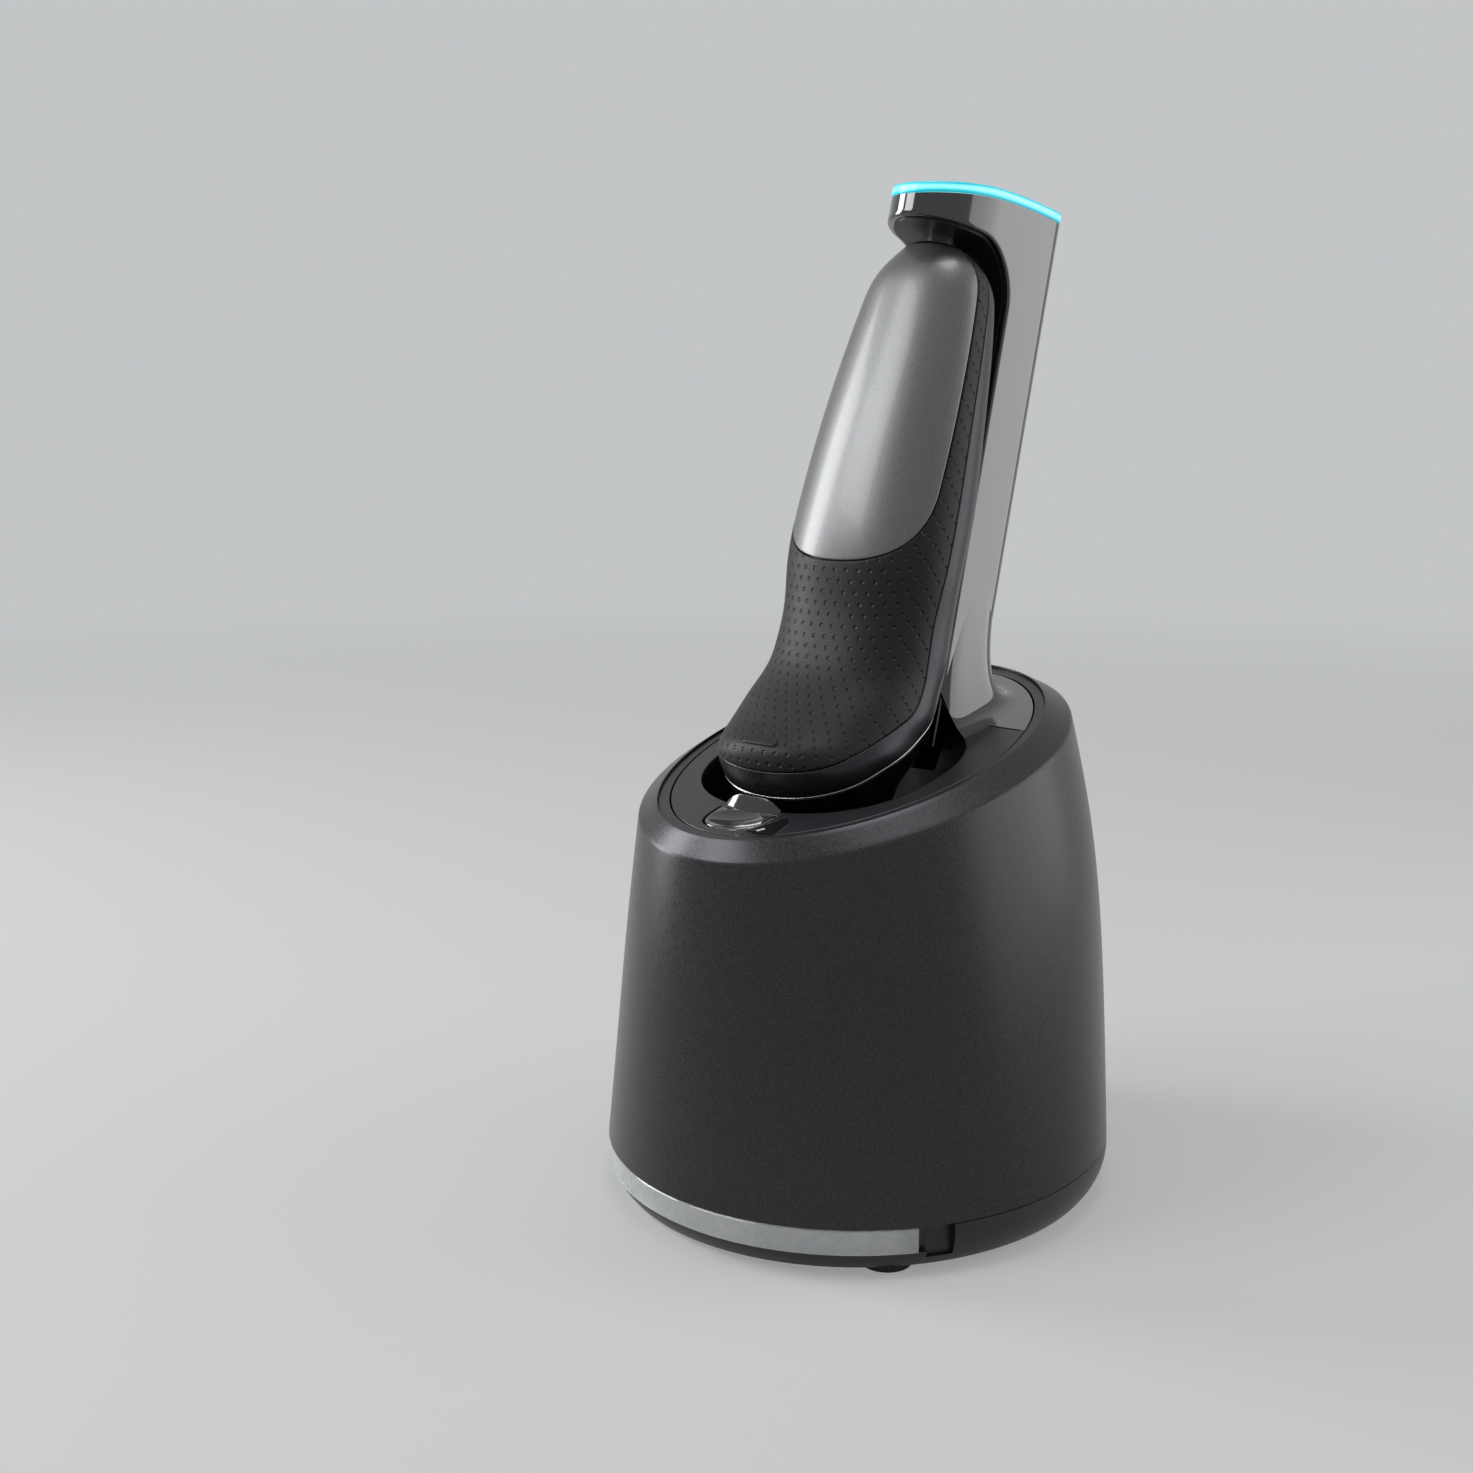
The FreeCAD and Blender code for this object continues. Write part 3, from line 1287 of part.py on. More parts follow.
def grip_region(grow):
    """The rubber grip's field: the back half above the slanted joint, with a rounded corner at the side."""
    field = side_region([
        (side_point(-3.0, 0.0), None),
        (side_point(-0.394, 0.0), None),
        (side_point(-0.394, 0.2333), None),
        (side_point(-0.035, 0.305), side_point(-0.17, 0.264)),
        (side_point(0.2, 1.02), side_point(-0.112, 0.533)),
        (side_point(0.2, 1.1), None),
        (side_point(-3.0, 1.1), None),
    ], grow)
    return field.cut(below_joint(grow))


def panel_region(grow):
    """The front panel's field, a long slot seen from the front."""
    half = float(size.grip_half_width) * 0.57 + grow
    low = float(size.shaver_above_pivot) * 0.377 - grow
    high = float(size.shaver_above_pivot) * 0.916 + grow
    depth = float(size.grip_half_depth)
    outline = path([
        (Vector(half, 0, low + half), Vector(0, 0, low)),
        (Vector(half, 0, high - half), None),
        (Vector(-half, 0, high - half), Vector(0, 0, high)),
        (Vector(-half, 0, low + half), None),
    ])
    return Part.Face(outline).extrude(Vector(0, 2 * depth, 0)).translated(Vector(0, depth / 4, 0))


def power_button_cylinder(radius, inner, outer):
    """Cylinder on the power button's axis, between two depths from the grip's half depth."""
    depth = float(size.grip_half_depth)
    centre = Vector(0, depth + inner, float(size.power_button_height))
    return Part.makeCylinder(float(radius), outer - inner, centre, Vector(0, 1, 0))


def shaver():
    full = shaver_form()
    gap = float(size.skin_gap)
    skin = full.cut(shaver_form(float(size.skin)))
    room = full.cut(shaver_form(float(size.skin) + gap))
    feature("shaver_back_cover", in_shaver(skin.common(cover_region(0.0))))

    button_hole = power_button_cylinder(size.power_button_radius + size.seat_gap, -5.0, 20.0)
    feature("shaver_front_panel", in_shaver(skin.common(panel_region(0.0)).cut(button_hole)))

    # the thumb ridge stands on the grip's foot, just above the joint
    ridge_low = float(size.joint_height) + 6.0
    ridge_half = float(size.grip_half_width) * 0.22
    ridge = box((-ridge_half, -2.0 * float(size.neck_reach), ridge_low), (ridge_half, -float(size.grip_half_depth), ridge_low + 1.8))
    ridge = ridge.common(shaver_form(-float(size.thumb_ridge))).cut(shaver_form(0.5 * float(size.skin)))
    grip = skin.common(grip_region(0.0)).cut(cover_region(gap)).fuse(ridge)
    feature("shaver_grip", in_shaver(grip.removeSplitter()))

    below = below_joint(float(size.collar_drop))
    body = full.cut(below).cut(room.common(grip_region(gap))).cut(room.common(panel_region(gap)))
    feature("shaver_body", in_shaver(body.cut(button_hole)))
    feature("shaver_collar", in_shaver(full.common(below)))

    end = float(size.shaver_above_pivot)
    cap = Part.makeCone(float(size.end_radius) + 0.6, float(size.end_radius), 0.8, Vector(0, 0, end - 0.8))
    feature("shaver_end_cap", in_shaver(cap))

    neck_foot = end * SHAVER_SECTIONS[0][0]
    head_x = float(size.head_half_width)
    head_y = float(size.head_half_depth)
    head = loft([
        oval(head_x - 0.8, head_y - 2.0, 0, -1.5, power=3.4),
        oval(head_x, head_y, 0, neck_foot / 2, power=3.2),
        oval(head_x - 1.3, head_y + 0.6, -1.5, neck_foot - 0.1, power=2.8),
    ])
    feature("shaver_head", in_shaver(head))
    foils = []
    for offset in (-7.2, 0.0, 7.2):
        bar = Part.makeCylinder(3.3, 40, Vector(-20, offset, -float(size.foil_depth) + 3.3), X_AXIS)
        bar = bar.common(Part.makeBox(60, 60, 20, Vector(-30, -30, -21.6)))
        foils.append(bar)
    feature("shaver_foils", in_shaver(Part.makeCompound(foils)))
    feature("power_button", in_shaver(power_button_cylinder(size.power_button_radius, -3.8, 0.8)))


base_tray()
level_window()
rubber_feet()
lift_spring()
cartridge()
housing_shell()
chassis_plate()
lift_post()
pump_parts()
circuit_board()
power_socket()
lift_button()
deck_panel()
status_light()
start_button()
start_switch()
tubes(wash_bowl())
tower_shell()
tower_liner()
light_strip()
light_board()
contact_pin()
shaver()

doc.recompute()
for item in doc.Objects:
    if "Invalid" in item.State or "Error" in item.State:
        raise RuntimeError(f"{item.Name} failed: {item.State}")
for piece in PIECES:
    if piece.Shape.isNull() or not piece.Shape.isValid():
        raise RuntimeError(f"{piece.Label} has no valid shape")

os.makedirs("parts", exist_ok=True)
for piece in PIECES:
    piece.Shape.exportStep(f"parts/{piece.Label}.step")
    print(piece.Label, len(piece.Shape.Solids), "solids", round(piece.Shape.Volume), "mm3")
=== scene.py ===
"""Shaver cleaning station with a shaver docked head down: the dressed model.

Lengths below are in millimetres and turn into metres where a mesh is made.
"""

import logging
import math
from dataclasses import dataclass, field
from enum import Enum
from typing import Iterable, Sequence

import bmesh
import bpy
import numpy as np
from mathutils import Matrix, Vector


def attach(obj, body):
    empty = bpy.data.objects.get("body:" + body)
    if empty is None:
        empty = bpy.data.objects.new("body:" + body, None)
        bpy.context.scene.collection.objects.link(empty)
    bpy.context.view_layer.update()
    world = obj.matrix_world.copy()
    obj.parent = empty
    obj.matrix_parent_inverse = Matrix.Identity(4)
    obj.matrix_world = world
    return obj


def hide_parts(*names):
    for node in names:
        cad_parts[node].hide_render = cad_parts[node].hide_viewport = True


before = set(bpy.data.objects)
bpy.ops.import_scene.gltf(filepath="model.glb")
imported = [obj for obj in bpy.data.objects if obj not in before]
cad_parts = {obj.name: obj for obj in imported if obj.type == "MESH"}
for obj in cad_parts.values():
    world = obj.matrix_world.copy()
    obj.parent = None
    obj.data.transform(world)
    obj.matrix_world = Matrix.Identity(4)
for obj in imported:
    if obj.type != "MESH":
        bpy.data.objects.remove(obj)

LOG = logging.getLogger("cleaning_station")
MM = 0.001


# ---------------------------------------------------------------- colour and shader nodes


def linear(code: str) -> tuple[float, float, float, float]:
    """Turn an sRGB hex colour into a linear one.

    Args:
        code: colour such as "#2b2c2e".

    Returns:
        Linear red, green and blue, and full opacity.
    """
    parts = [int(code[i:i + 2], 16) / 255 for i in (1, 3, 5)]
    tones = [c / 12.92 if c <= 0.04045 else ((c + 0.055) / 1.055) ** 2.4 for c in parts]
    return (*tones, 1.0)


def add_node(tree: bpy.types.NodeTree, kind: str, sockets: dict | None = None, **settings) -> bpy.types.Node:
    """Add a shader node with its settings and links.

    Args:
        tree: node tree that takes the node.
        kind: Blender's name of the node.
        sockets: values or output sockets by the name or number of an input.
        settings: plain attributes of the node.

    Returns:
        The new node.
    """
    node = tree.nodes.new(kind)
    for name, value in settings.items():
        setattr(node, name, value)
    for name, value in (sockets or {}).items():
        if isinstance(value, bpy.types.NodeSocket):
            tree.links.new(value, node.inputs[name])
        else:
            node.inputs[name].default_value = value
    return node


def compute(tree: bpy.types.NodeTree, operation: str,
            *values: float | bpy.types.NodeSocket) -> bpy.types.NodeSocket:
    """Return the result of one sum on numbers or sockets."""
    return add_node(tree, "ShaderNodeMath", dict(enumerate(values)), operation=operation).outputs[0]


def pair(tree: bpy.types.NodeTree, layer: str) -> list[bpy.types.NodeSocket]:
    """Return the two numbers that a UV layer holds."""
    spot = add_node(tree, "ShaderNodeUVMap", uv_map=layer)
    return add_node(tree, "ShaderNodeSeparateXYZ", {"Vector": spot.outputs[0]}).outputs[:2]


def ramp(tree: bpy.types.NodeTree, factor: bpy.types.NodeSocket,
         stops: Sequence[tuple[float, str]]) -> bpy.types.Node:
    """Colour ramp between hex colours.

    Args:
        tree: node tree that takes the ramp.
        factor: what runs along the ramp.
        stops: positions from 0 to 1 with their colours.

    Returns:
        The ramp node.
    """
    node = add_node(tree, "ShaderNodeValToRGB", {"Fac": factor})
    elements = node.color_ramp.elements
    while len(elements) < len(stops):
        elements.new(0.5)
    for element, (position, code) in zip(elements, stops):
        element.position = position
        element.color = linear(code)
    return node


class Pattern(Enum):
    """How a surface was made, which sets what its fine relief looks like."""

    SPARK = "spark-eroded mould grain"
    DRAWN = "drawn or brushed along one way"
    SMOOTH = "polished mould"


@dataclass(frozen=True)
class Finish:
    """One real surface: the material and the relief that its making left.

    Grain sizes are the width of one grain or stroke in millimetres, and the relief is its height.
    """

    name: str = "finish"
    colour: str = "#808080"
    second: str = "#8a8a8a"
    roughness: float = 0.4
    metallic: float = 0.0
    ior: float = 1.5
    coat: float = 0.0
    coat_roughness: float = 0.05
    transmission: float = 0.0
    pattern: Pattern = Pattern.SPARK
    grain: float = 0.3
    relief: float = 0.01
    spread: float = 0.06

    def material(self) -> bpy.types.Material:
        """Return this finish's material, made on first use."""
        made = bpy.data.materials.get(self.name)
        if made:
            return made
        made = bpy.data.materials.new(self.name)
        made.use_nodes = True
        tree = made.node_tree
        tree.nodes.clear()
        shader = add_node(tree, "ShaderNodeBsdfPrincipled", {
            "Base Color": linear(self.colour), "Roughness": self.roughness, "Metallic": self.metallic,
            "IOR": self.ior, "Coat Weight": self.coat, "Coat Roughness": self.coat_roughness,
            "Transmission Weight": self.transmission,
        })
        add_node(tree, "ShaderNodeOutputMaterial", {"Surface": shader.outputs[0]})
        self.relieve(tree, shader)
        self.dress(tree, shader)
        return made

    def place(self, tree: bpy.types.NodeTree) -> bpy.types.NodeSocket:
        """Return the object's own coordinates, in metres."""
        return add_node(tree, "ShaderNodeTexCoord").outputs["Object"]

    def relieve(self, tree: bpy.types.NodeTree, shader: bpy.types.Node) -> None:
        """Link the fine relief and its small change of colour and gloss.

        Args:
            tree: the material's nodes.
            shader: its surface shader.
        """
        stretch = (1.0, 1.0, 0.04) if self.pattern is Pattern.DRAWN else (1.0, 1.0, 1.0)
        point = add_node(tree, "ShaderNodeMapping", {"Vector": self.place(tree), "Scale": stretch}).outputs[0]
        detail = 1.0 if self.pattern is Pattern.SMOOTH else 3.0
        grains = add_node(tree, "ShaderNodeTexNoise", {
            "Vector": point, "Scale": 1 / (self.grain * MM), "Detail": detail, "Roughness": 0.55})
        tone = ramp(tree, grains.outputs[0], [(0.35, self.colour), (0.65, self.second)])
        gloss = add_node(tree, "ShaderNodeMapRange", {
            "Value": grains.outputs[0], "From Min": 0.3, "From Max": 0.7,
            "To Min": max(self.roughness - self.spread, 0.0), "To Max": self.roughness + self.spread})
        bump = add_node(tree, "ShaderNodeBump", {
            "Height": grains.outputs[0], "Strength": 1.0, "Distance": self.relief * MM})
        tree.links.new(tone.outputs[0], shader.inputs["Base Color"])
        tree.links.new(gloss.outputs[0], shader.inputs["Roughness"])
        tree.links.new(bump.outputs[0], shader.inputs["Normal"])

    def dress(self, tree: bpy.types.NodeTree, shader: bpy.types.Node) -> None:
        """Add what this finish alone has; a plain one adds nothing."""


# ---------------------------------------------------------------- finishes


# Graphite lacquer sprayed on ABS: fine metallic speckle that lifts to grey where the light grazes.
@dataclass(frozen=True)
class GraphiteLacquer(Finish):
    name: str = "graphite_lacquer"
    colour: str = "#303032"
    second: str = "#3f3f42"
    roughness: float = 0.31
    metallic: float = 0.75
    grain: float = 0.45
    relief: float = 0.007


# Spark-eroded ABS of the deck: calm dark grey with a soft sheen.
@dataclass(frozen=True)
class DeckAbs(Finish):
    name: str = "deck_abs"
    colour: str = "#1d1e20"
    second: str = "#242629"
    roughness: float = 0.34
    metallic: float = 0.2
    grain: float = 0.35
    relief: float = 0.006


# Moulded ABS of the tray: near black with a dull sheen.
@dataclass(frozen=True)
class TrayAbs(Finish):
    name: str = "tray_abs"
    colour: str = "#141517"
    second: str = "#1b1c1f"
    roughness: float = 0.38
    grain: float = 0.4
    relief: float = 0.01


# Cast acrylic: clear with a bright edge, the ribs behind it break up what lies inside; its near-white colour,
# let through at only 0.7 transmission, lays a painted white glow on the band.
@dataclass(frozen=True)
class ClearAcrylic(Finish):
    name: str = "clear_acrylic"
    colour: str = "#f2f6f7"
    second: str = "#ffffff"
    roughness: float = 0.03
    ior: float = 1.49
    # painted glow: at 0.7 the near-white base colour whitens the clear band
    transmission: float = 0.7
    pattern: Pattern = Pattern.SMOOTH
    grain: float = 2.0
    relief: float = 0.004
    spread: float = 0.02


# Injected silicone rubber: matt black that gathers dust-grey at grazing angles.
@dataclass(frozen=True)
class FootRubber(Finish):
    name: str = "foot_rubber"
    colour: str = "#161616"
    second: str = "#202020"
    roughness: float = 0.8
    grain: float = 0.5
    relief: float = 0.02


# Coiled spring steel: drawn wire with fine lengthwise lines.
@dataclass(frozen=True)
class SpringSteel(Finish):
    name: str = "spring_steel"
    colour: str = "#9a9b9d"
    second: str = "#b9babb"
    roughness: float = 0.28
    metallic: float = 1.0
    pattern: Pattern = Pattern.DRAWN
    grain: float = 0.2
    relief: float = 0.004


# Blown polypropylene of the refill: translucent blue with a waxy sheen.
@dataclass(frozen=True)
class RefillPolypropylene(Finish):
    name: str = "refill_polypropylene"
    colour: str = "#2f6fb0"
    second: str = "#3c7dbe"
    roughness: float = 0.35
    grain: float = 0.8
    relief: float = 0.02

    def dress(self, tree: bpy.types.NodeTree, shader: bpy.types.Node) -> None:
        """Let some light glow through the wall."""
        shader.inputs["Subsurface Weight"].default_value = 0.2
        shader.inputs["Subsurface Scale"].default_value = 2 * MM


# Alcohol-based fluid: pale blue and clear, with slow streaks of perfume oil.
@dataclass(frozen=True)
class CleaningFluid(Finish):
    name: str = "cleaning_fluid"
    colour: str = "#7fb6dc"
    second: str = "#9cc9e8"
    roughness: float = 0.04
    ior: float = 1.36
    transmission: float = 0.7
    pattern: Pattern = Pattern.SMOOTH
    grain: float = 12.0
    relief: float = 0.02
    spread: float = 0.01


# Moulded polypropylene of the refill's lid: milky white, slightly uneven.
@dataclass(frozen=True)
class LidPolypropylene(Finish):
    name: str = "lid_polypropylene"
    colour: str = "#c9d3da"
    second: str = "#dbe3e8"
    roughness: float = 0.42
    grain: float = 0.7
    relief: float = 0.015


# Plain ABS of the parts inside: mid grey with mould grain.
@dataclass(frozen=True)
class InnerAbs(Finish):
    name: str = "inner_abs"
    colour: str = "#4a4c4f"
    second: str = "#565859"
    roughness: float = 0.5
    grain: float = 0.5
    relief: float = 0.02


# Zinc-plated steel can of the motor: cool grey with a faint crystal bloom.
@dataclass(frozen=True)
class ZincPlate(Finish):
    name: str = "zinc_plate"
    colour: str = "#a5a8aa"
    second: str = "#c0c3c4"
    roughness: float = 0.32
    metallic: float = 1.0
    grain: float = 1.5
    relief: float = 0.003
    spread: float = 0.1


# Solder mask on glass epoxy: glossy dark green over a woven board.
@dataclass(frozen=True)
class SolderMask(Finish):
    name: str = "solder_mask"
    colour: str = "#0f4a2e"
    second: str = "#14593a"
    roughness: float = 0.25
    grain: float = 0.9
    relief: float = 0.01
    coat: float = 0.4


# Glass-filled nylon of the socket: black, slightly fibrous.
@dataclass(frozen=True)
class SocketNylon(Finish):
    name: str = "socket_nylon"
    colour: str = "#111112"
    second: str = "#1c1c1d"
    roughness: float = 0.5
    grain: float = 0.3
    relief: float = 0.015


# Turned brass pins: warm yellow with ring marks.
@dataclass(frozen=True)
class TurnedBrass(Finish):
    name: str = "turned_brass"
    colour: str = "#c9a45a"
    second: str = "#dcb96f"
    roughness: float = 0.22
    metallic: float = 1.0
    pattern: Pattern = Pattern.DRAWN
    grain: float = 0.25
    relief: float = 0.003


# Polycarbonate light pipe: milky, softly lit from below.
@dataclass(frozen=True)
class LightPipe(Finish):
    name: str = "light_pipe"
    colour: str = "#cfe6ee"
    second: str = "#e4f3f8"
    roughness: float = 0.3
    grain: float = 0.4
    relief: float = 0.004

    def dress(self, tree: bpy.types.NodeTree, shader: bpy.types.Node) -> None:
        """Give the pipe its soft light."""
        shader.inputs["Emission Color"].default_value = linear("#d8f2fa")
        shader.inputs["Emission Strength"].default_value = 0.7


# Polypropylene of the wash bowl: dark grey and smooth, always a little wet.
@dataclass(frozen=True)
class BowlPolypropylene(Finish):
    name: str = "bowl_polypropylene"
    colour: str = "#060607"
    second: str = "#0a0a0b"
    roughness: float = 0.62
    ior: float = 1.33
    pattern: Pattern = Pattern.SMOOTH
    grain: float = 3.0
    relief: float = 0.01


# Extruded silicone tube: milky and soft, with faint draw lines.
@dataclass(frozen=True)
class SiliconeTube(Finish):
    name: str = "silicone_tube"
    colour: str = "#cdd2d4"
    second: str = "#dde1e2"
    roughness: float = 0.45
    pattern: Pattern = Pattern.DRAWN
    grain: float = 0.3
    relief: float = 0.01


# Polished ABS, piano black: deep gloss under a hard coat, faint polishing waves only.
@dataclass(frozen=True)
class PianoBlack(Finish):
    name: str = "piano_black"
    colour: str = "#07080a"
    second: str = "#0b0c0e"
    roughness: float = 0.1
    coat: float = 1.0
    coat_roughness: float = 0.02
    pattern: Pattern = Pattern.SMOOTH
    grain: float = 9.0
    relief: float = 0.003
    spread: float = 0.03


# Satin-moulded ABS of the channel behind the gloss edges.
@dataclass(frozen=True)
class LinerAbs(Finish):
    name: str = "liner_abs"
    colour: str = "#0b0b0c"
    second: str = "#111112"
    roughness: float = 0.42
    grain: float = 0.35
    relief: float = 0.008


# Opal polycarbonate over a row of blue lamps: nearly white core, cyan towards its rims.
@dataclass(frozen=True)
class OpalBand(Finish):
    name: str = "opal_band"
    colour: str = "#1c9fae"
    second: str = "#28aebb"
    roughness: float = 0.28
    grain: float = 0.6
    relief: float = 0.004

    def dress(self, tree: bpy.types.NodeTree, shader: bpy.types.Node) -> None:
        """Light the band: a pale core that turns cyan towards both rims."""
        glow = ramp(tree, pair(tree, "UVMap")[1], [
            (0.0, "#067f96"), (0.2, "#10b8c8"), (0.42, "#a2f4f2"), (0.6, "#a2f4f2"), (0.82, "#10b8c8"),
            (1.0, "#067f96")])
        tree.links.new(glow.outputs[0], shader.inputs["Emission Color"])
        shader.inputs["Emission Strength"].default_value = 0.95


# Burnished steel of the contact pin: satin and dark.
@dataclass(frozen=True)
class BurnishedSteel(Finish):
    name: str = "burnished_steel"
    colour: str = "#5b5d60"
    second: str = "#6c6e71"
    roughness: float = 0.36
    metallic: float = 1.0
    pattern: Pattern = Pattern.DRAWN
    grain: float = 0.3
    relief: float = 0.004


# Natural acetal of the rotor: off-white and slippery.
@dataclass(frozen=True)
class NaturalAcetal(Finish):
    name: str = "natural_acetal"
    colour: str = "#d9d8d2"
    second: str = "#e4e3de"
    roughness: float = 0.3
    grain: float = 0.6
    relief: float = 0.006


# Silver lacquer on the shaver's cover: bright metallic flakes under a clear coat.
@dataclass(frozen=True)
class SilverLacquer(Finish):
    name: str = "silver_lacquer"
    colour: str = "#5f6061"
    second: str = "#6f7071"
    roughness: float = 0.4
    metallic: float = 0.85
    coat: float = 0.25
    coat_roughness: float = 0.12
    grain: float = 0.3
    relief: float = 0.003


# Thermoplastic rubber of the grip: matt, with moulded dimples in staggered rows, and painted shade darkening
# each dimple's floor.
@dataclass(frozen=True)
class DimpledRubber(Finish):
    name: str = "dimpled_rubber"
    colour: str = "#0a0a0b"
    second: str = "#0f0f10"
    roughness: float = 0.52
    ior: float = 1.38
    grain: float = 0.25
    relief: float = 0.012
    # near-black painted shade for the dimples' floors
    pit_shade_colour: str = "#020202"
    pit_floor: float = 0.26
    pit_rim: float = 0.56
    pit_depth: float = 0.4

    def dress(self, tree: bpy.types.NodeTree, shader: bpy.types.Node) -> None:
        """Press the dimples and darken their floors with painted shade: the UV map counts rows and places
        along a row.
        """
        place, row = pair(tree, "UVMap")
        shifted = compute(tree, "ADD", place, compute(tree, "MULTIPLY", compute(tree, "FLOOR", row), 0.5))
        centred = []
        for count, pitch in zip((shifted, row), pair(tree, "Pitch")):
            middle = compute(tree, "SUBTRACT", compute(tree, "FRACT", count), 0.5)
            centred.append(compute(tree, "MULTIPLY", middle, pitch))
        aside = compute(tree, "MULTIPLY", centred[1], pair(tree, "Lean")[0])
        across = compute(tree, "ADD", centred[0], aside)
        offset = add_node(tree, "ShaderNodeCombineXYZ", {0: across, 1: centred[1]})
        distance = add_node(tree, "ShaderNodeVectorMath", {0: offset.outputs[0]}, operation="LENGTH")
        pit = add_node(tree, "ShaderNodeMapRange", {
            "Value": distance.outputs["Value"], "From Min": self.pit_floor, "From Max": self.pit_rim})
        fine = shader.inputs["Normal"].links[0].from_socket
        bump = add_node(tree, "ShaderNodeBump", {
            "Height": pit.outputs[0], "Strength": 1.0, "Distance": self.pit_depth * MM, "Normal": fine})
        tree.links.new(bump.outputs[0], shader.inputs["Normal"])
        # painted shade: towards each dimple's middle the colour blends into the near-black pit shade colour
        base = shader.inputs["Base Color"].links[0].from_socket
        shade = add_node(tree, "ShaderNodeMix", {0: pit.outputs[0], 6: linear(self.pit_shade_colour), 7: base},
                         data_type="RGBA")
        tree.links.new(shade.outputs[2], shader.inputs["Base Color"])


# Dark metallic lacquer of the shaver's body: satin, with a soft wide glint.
@dataclass(frozen=True)
class BodyLacquer(Finish):
    name: str = "body_lacquer"
    colour: str = "#26282b"
    second: str = "#303236"
    roughness: float = 0.3
    metallic: float = 0.6
    grain: float = 0.35
    relief: float = 0.003


# Polished collar of the shaver: gloss black ring.
@dataclass(frozen=True)
class CollarAbs(Finish):
    name: str = "collar_abs"
    colour: str = "#0d0e10"
    second: str = "#131416"
    roughness: float = 0.2
    pattern: Pattern = Pattern.SMOOTH
    grain: float = 4.0
    relief: float = 0.003


# Etched nickel foil: thousands of small holes between bright webs.
@dataclass(frozen=True)
class EtchedFoil(Finish):
    name: str = "etched_foil"
    colour: str = "#b4b4b2"
    second: str = "#c6c6c4"
    roughness: float = 0.25
    metallic: float = 1.0
    grain: float = 0.5
    relief: float = 0.002

    def dress(self, tree: bpy.types.NodeTree, shader: bpy.types.Node) -> None:
        """Darken the holes, drawn at 0.8 mm because the real 0.4 mm would not show."""
        cells = add_node(tree, "ShaderNodeTexVoronoi", {"Vector": self.place(tree), "Scale": 1 / (0.8 * MM)})
        holes = ramp(tree, cells.outputs["Distance"], [(0.28, "#050505"), (0.36, self.colour)])
        tree.links.new(holes.outputs[0], shader.inputs["Base Color"])


# Satin chrome: bright plated ring with a brushed bloom.
@dataclass(frozen=True)
class SatinChrome(Finish):
    name: str = "satin_chrome"
    colour: str = "#aeb0b3"
    second: str = "#c3c5c7"
    roughness: float = 0.24
    metallic: float = 1.0
    pattern: Pattern = Pattern.DRAWN
    grain: float = 0.25
    relief: float = 0.003


# ---------------------------------------------------------------- shapes


def leaning(origin: tuple[float, float, float], degrees: float) -> np.ndarray:
    """Frame of a part built upright around its own origin and turned about X.

    Args:
        origin: where its origin goes, in millimetres.
        degrees: turn about X.

    Returns:
        A 4 by 4 matrix.
    """
    return np.array(Matrix.Translation(origin) @ Matrix.Rotation(math.radians(degrees), 4, "X"))


DECK_TILT, TOWER_TILT, SHAVER_TILT = 12.68, -15.3, -18.5
DECK = leaning((0, -4.4, 111.5), DECK_TILT)
TOWER = leaning((0, 21.2, 113.0), TOWER_TILT)
SHAVER = leaning((0, -21.3, 85.0), SHAVER_TILT)
UPRIGHT = np.eye(4)
SLOPE = math.tan(math.radians(DECK_TILT))
DECK_DEPTH = 57.9 / math.cos(math.radians(DECK_TILT))
# half width, half depth, middle and fullness of the well, and of the hole for the tower's foot
WELL = (31.0, 31.2, -10.0, 2.3)
FOOT = (20.0, 18.28, 26.24, 3.2)
# the deck's outline, its level, and the groove between its rim and its middle
DECK_OVAL = (40.65, DECK_DEPTH - 0.05)
DECK_LEVEL = -0.8
GROOVE = 2.2


def deck_outline(p: np.ndarray) -> np.ndarray:
    """Return the distance outside the deck's outline."""
    return oval_field(p[..., 0], p[..., 1], *DECK_OVAL, 2.0)


def oval(turn: np.ndarray, half_width: float, half_depth: float, power: float = 2.0) -> np.ndarray:
    """Points of an ellipse, or of a fuller oval.

    Args:
        turn: angles in radians.
        half_width: reach along X.
        half_depth: reach along Y.
        power: 2 for an ellipse, more for a fuller oval.

    Returns:
        Array of X and Y.
    """
    c, s = np.cos(turn), np.sin(turn)
    return np.stack([half_width * np.sign(c) * np.abs(c) ** (2 / power),
                     half_depth * np.sign(s) * np.abs(s) ** (2 / power)], axis=-1)


def oval_field(x: np.ndarray, y: np.ndarray, half_width: float, half_depth: float,
               power: float) -> np.ndarray:
    """Rough distance outside an oval, negative inside it."""
    share = (np.abs(x / half_width) ** power + np.abs(y / half_depth) ** power) ** (1 / power)
    return (share - 1) * min(half_width, half_depth)


def outline_field(y: np.ndarray, z: np.ndarray, outline: Sequence[tuple[float, float]]) -> np.ndarray:
    """Distance outside a closed outline, negative inside it.

    Args:
        y: first coordinate of the points.
        z: second coordinate of the points.
        outline: corners of the outline in order.

    Returns:
        Signed distances.
    """
    nearest = np.full(y.shape, 1e9)
    inside = np.zeros(y.shape, bool)
    for (ay, az), (by, bz) in zip(outline, list(outline[1:]) + [outline[0]]):
        dy, dz = by - ay, bz - az
        share = np.clip(((y - ay) * dy + (z - az) * dz) / (dy * dy + dz * dz + 1e-12), 0, 1)
        nearest = np.minimum(nearest, np.hypot(y - ay - share * dy, z - az - share * dz))
        crosses = (az > z) != (bz > z)
        inside ^= crosses & (y < ay + (z - az) * dy / (dz if dz else 1e-12))
    return np.where(inside, -nearest, nearest)


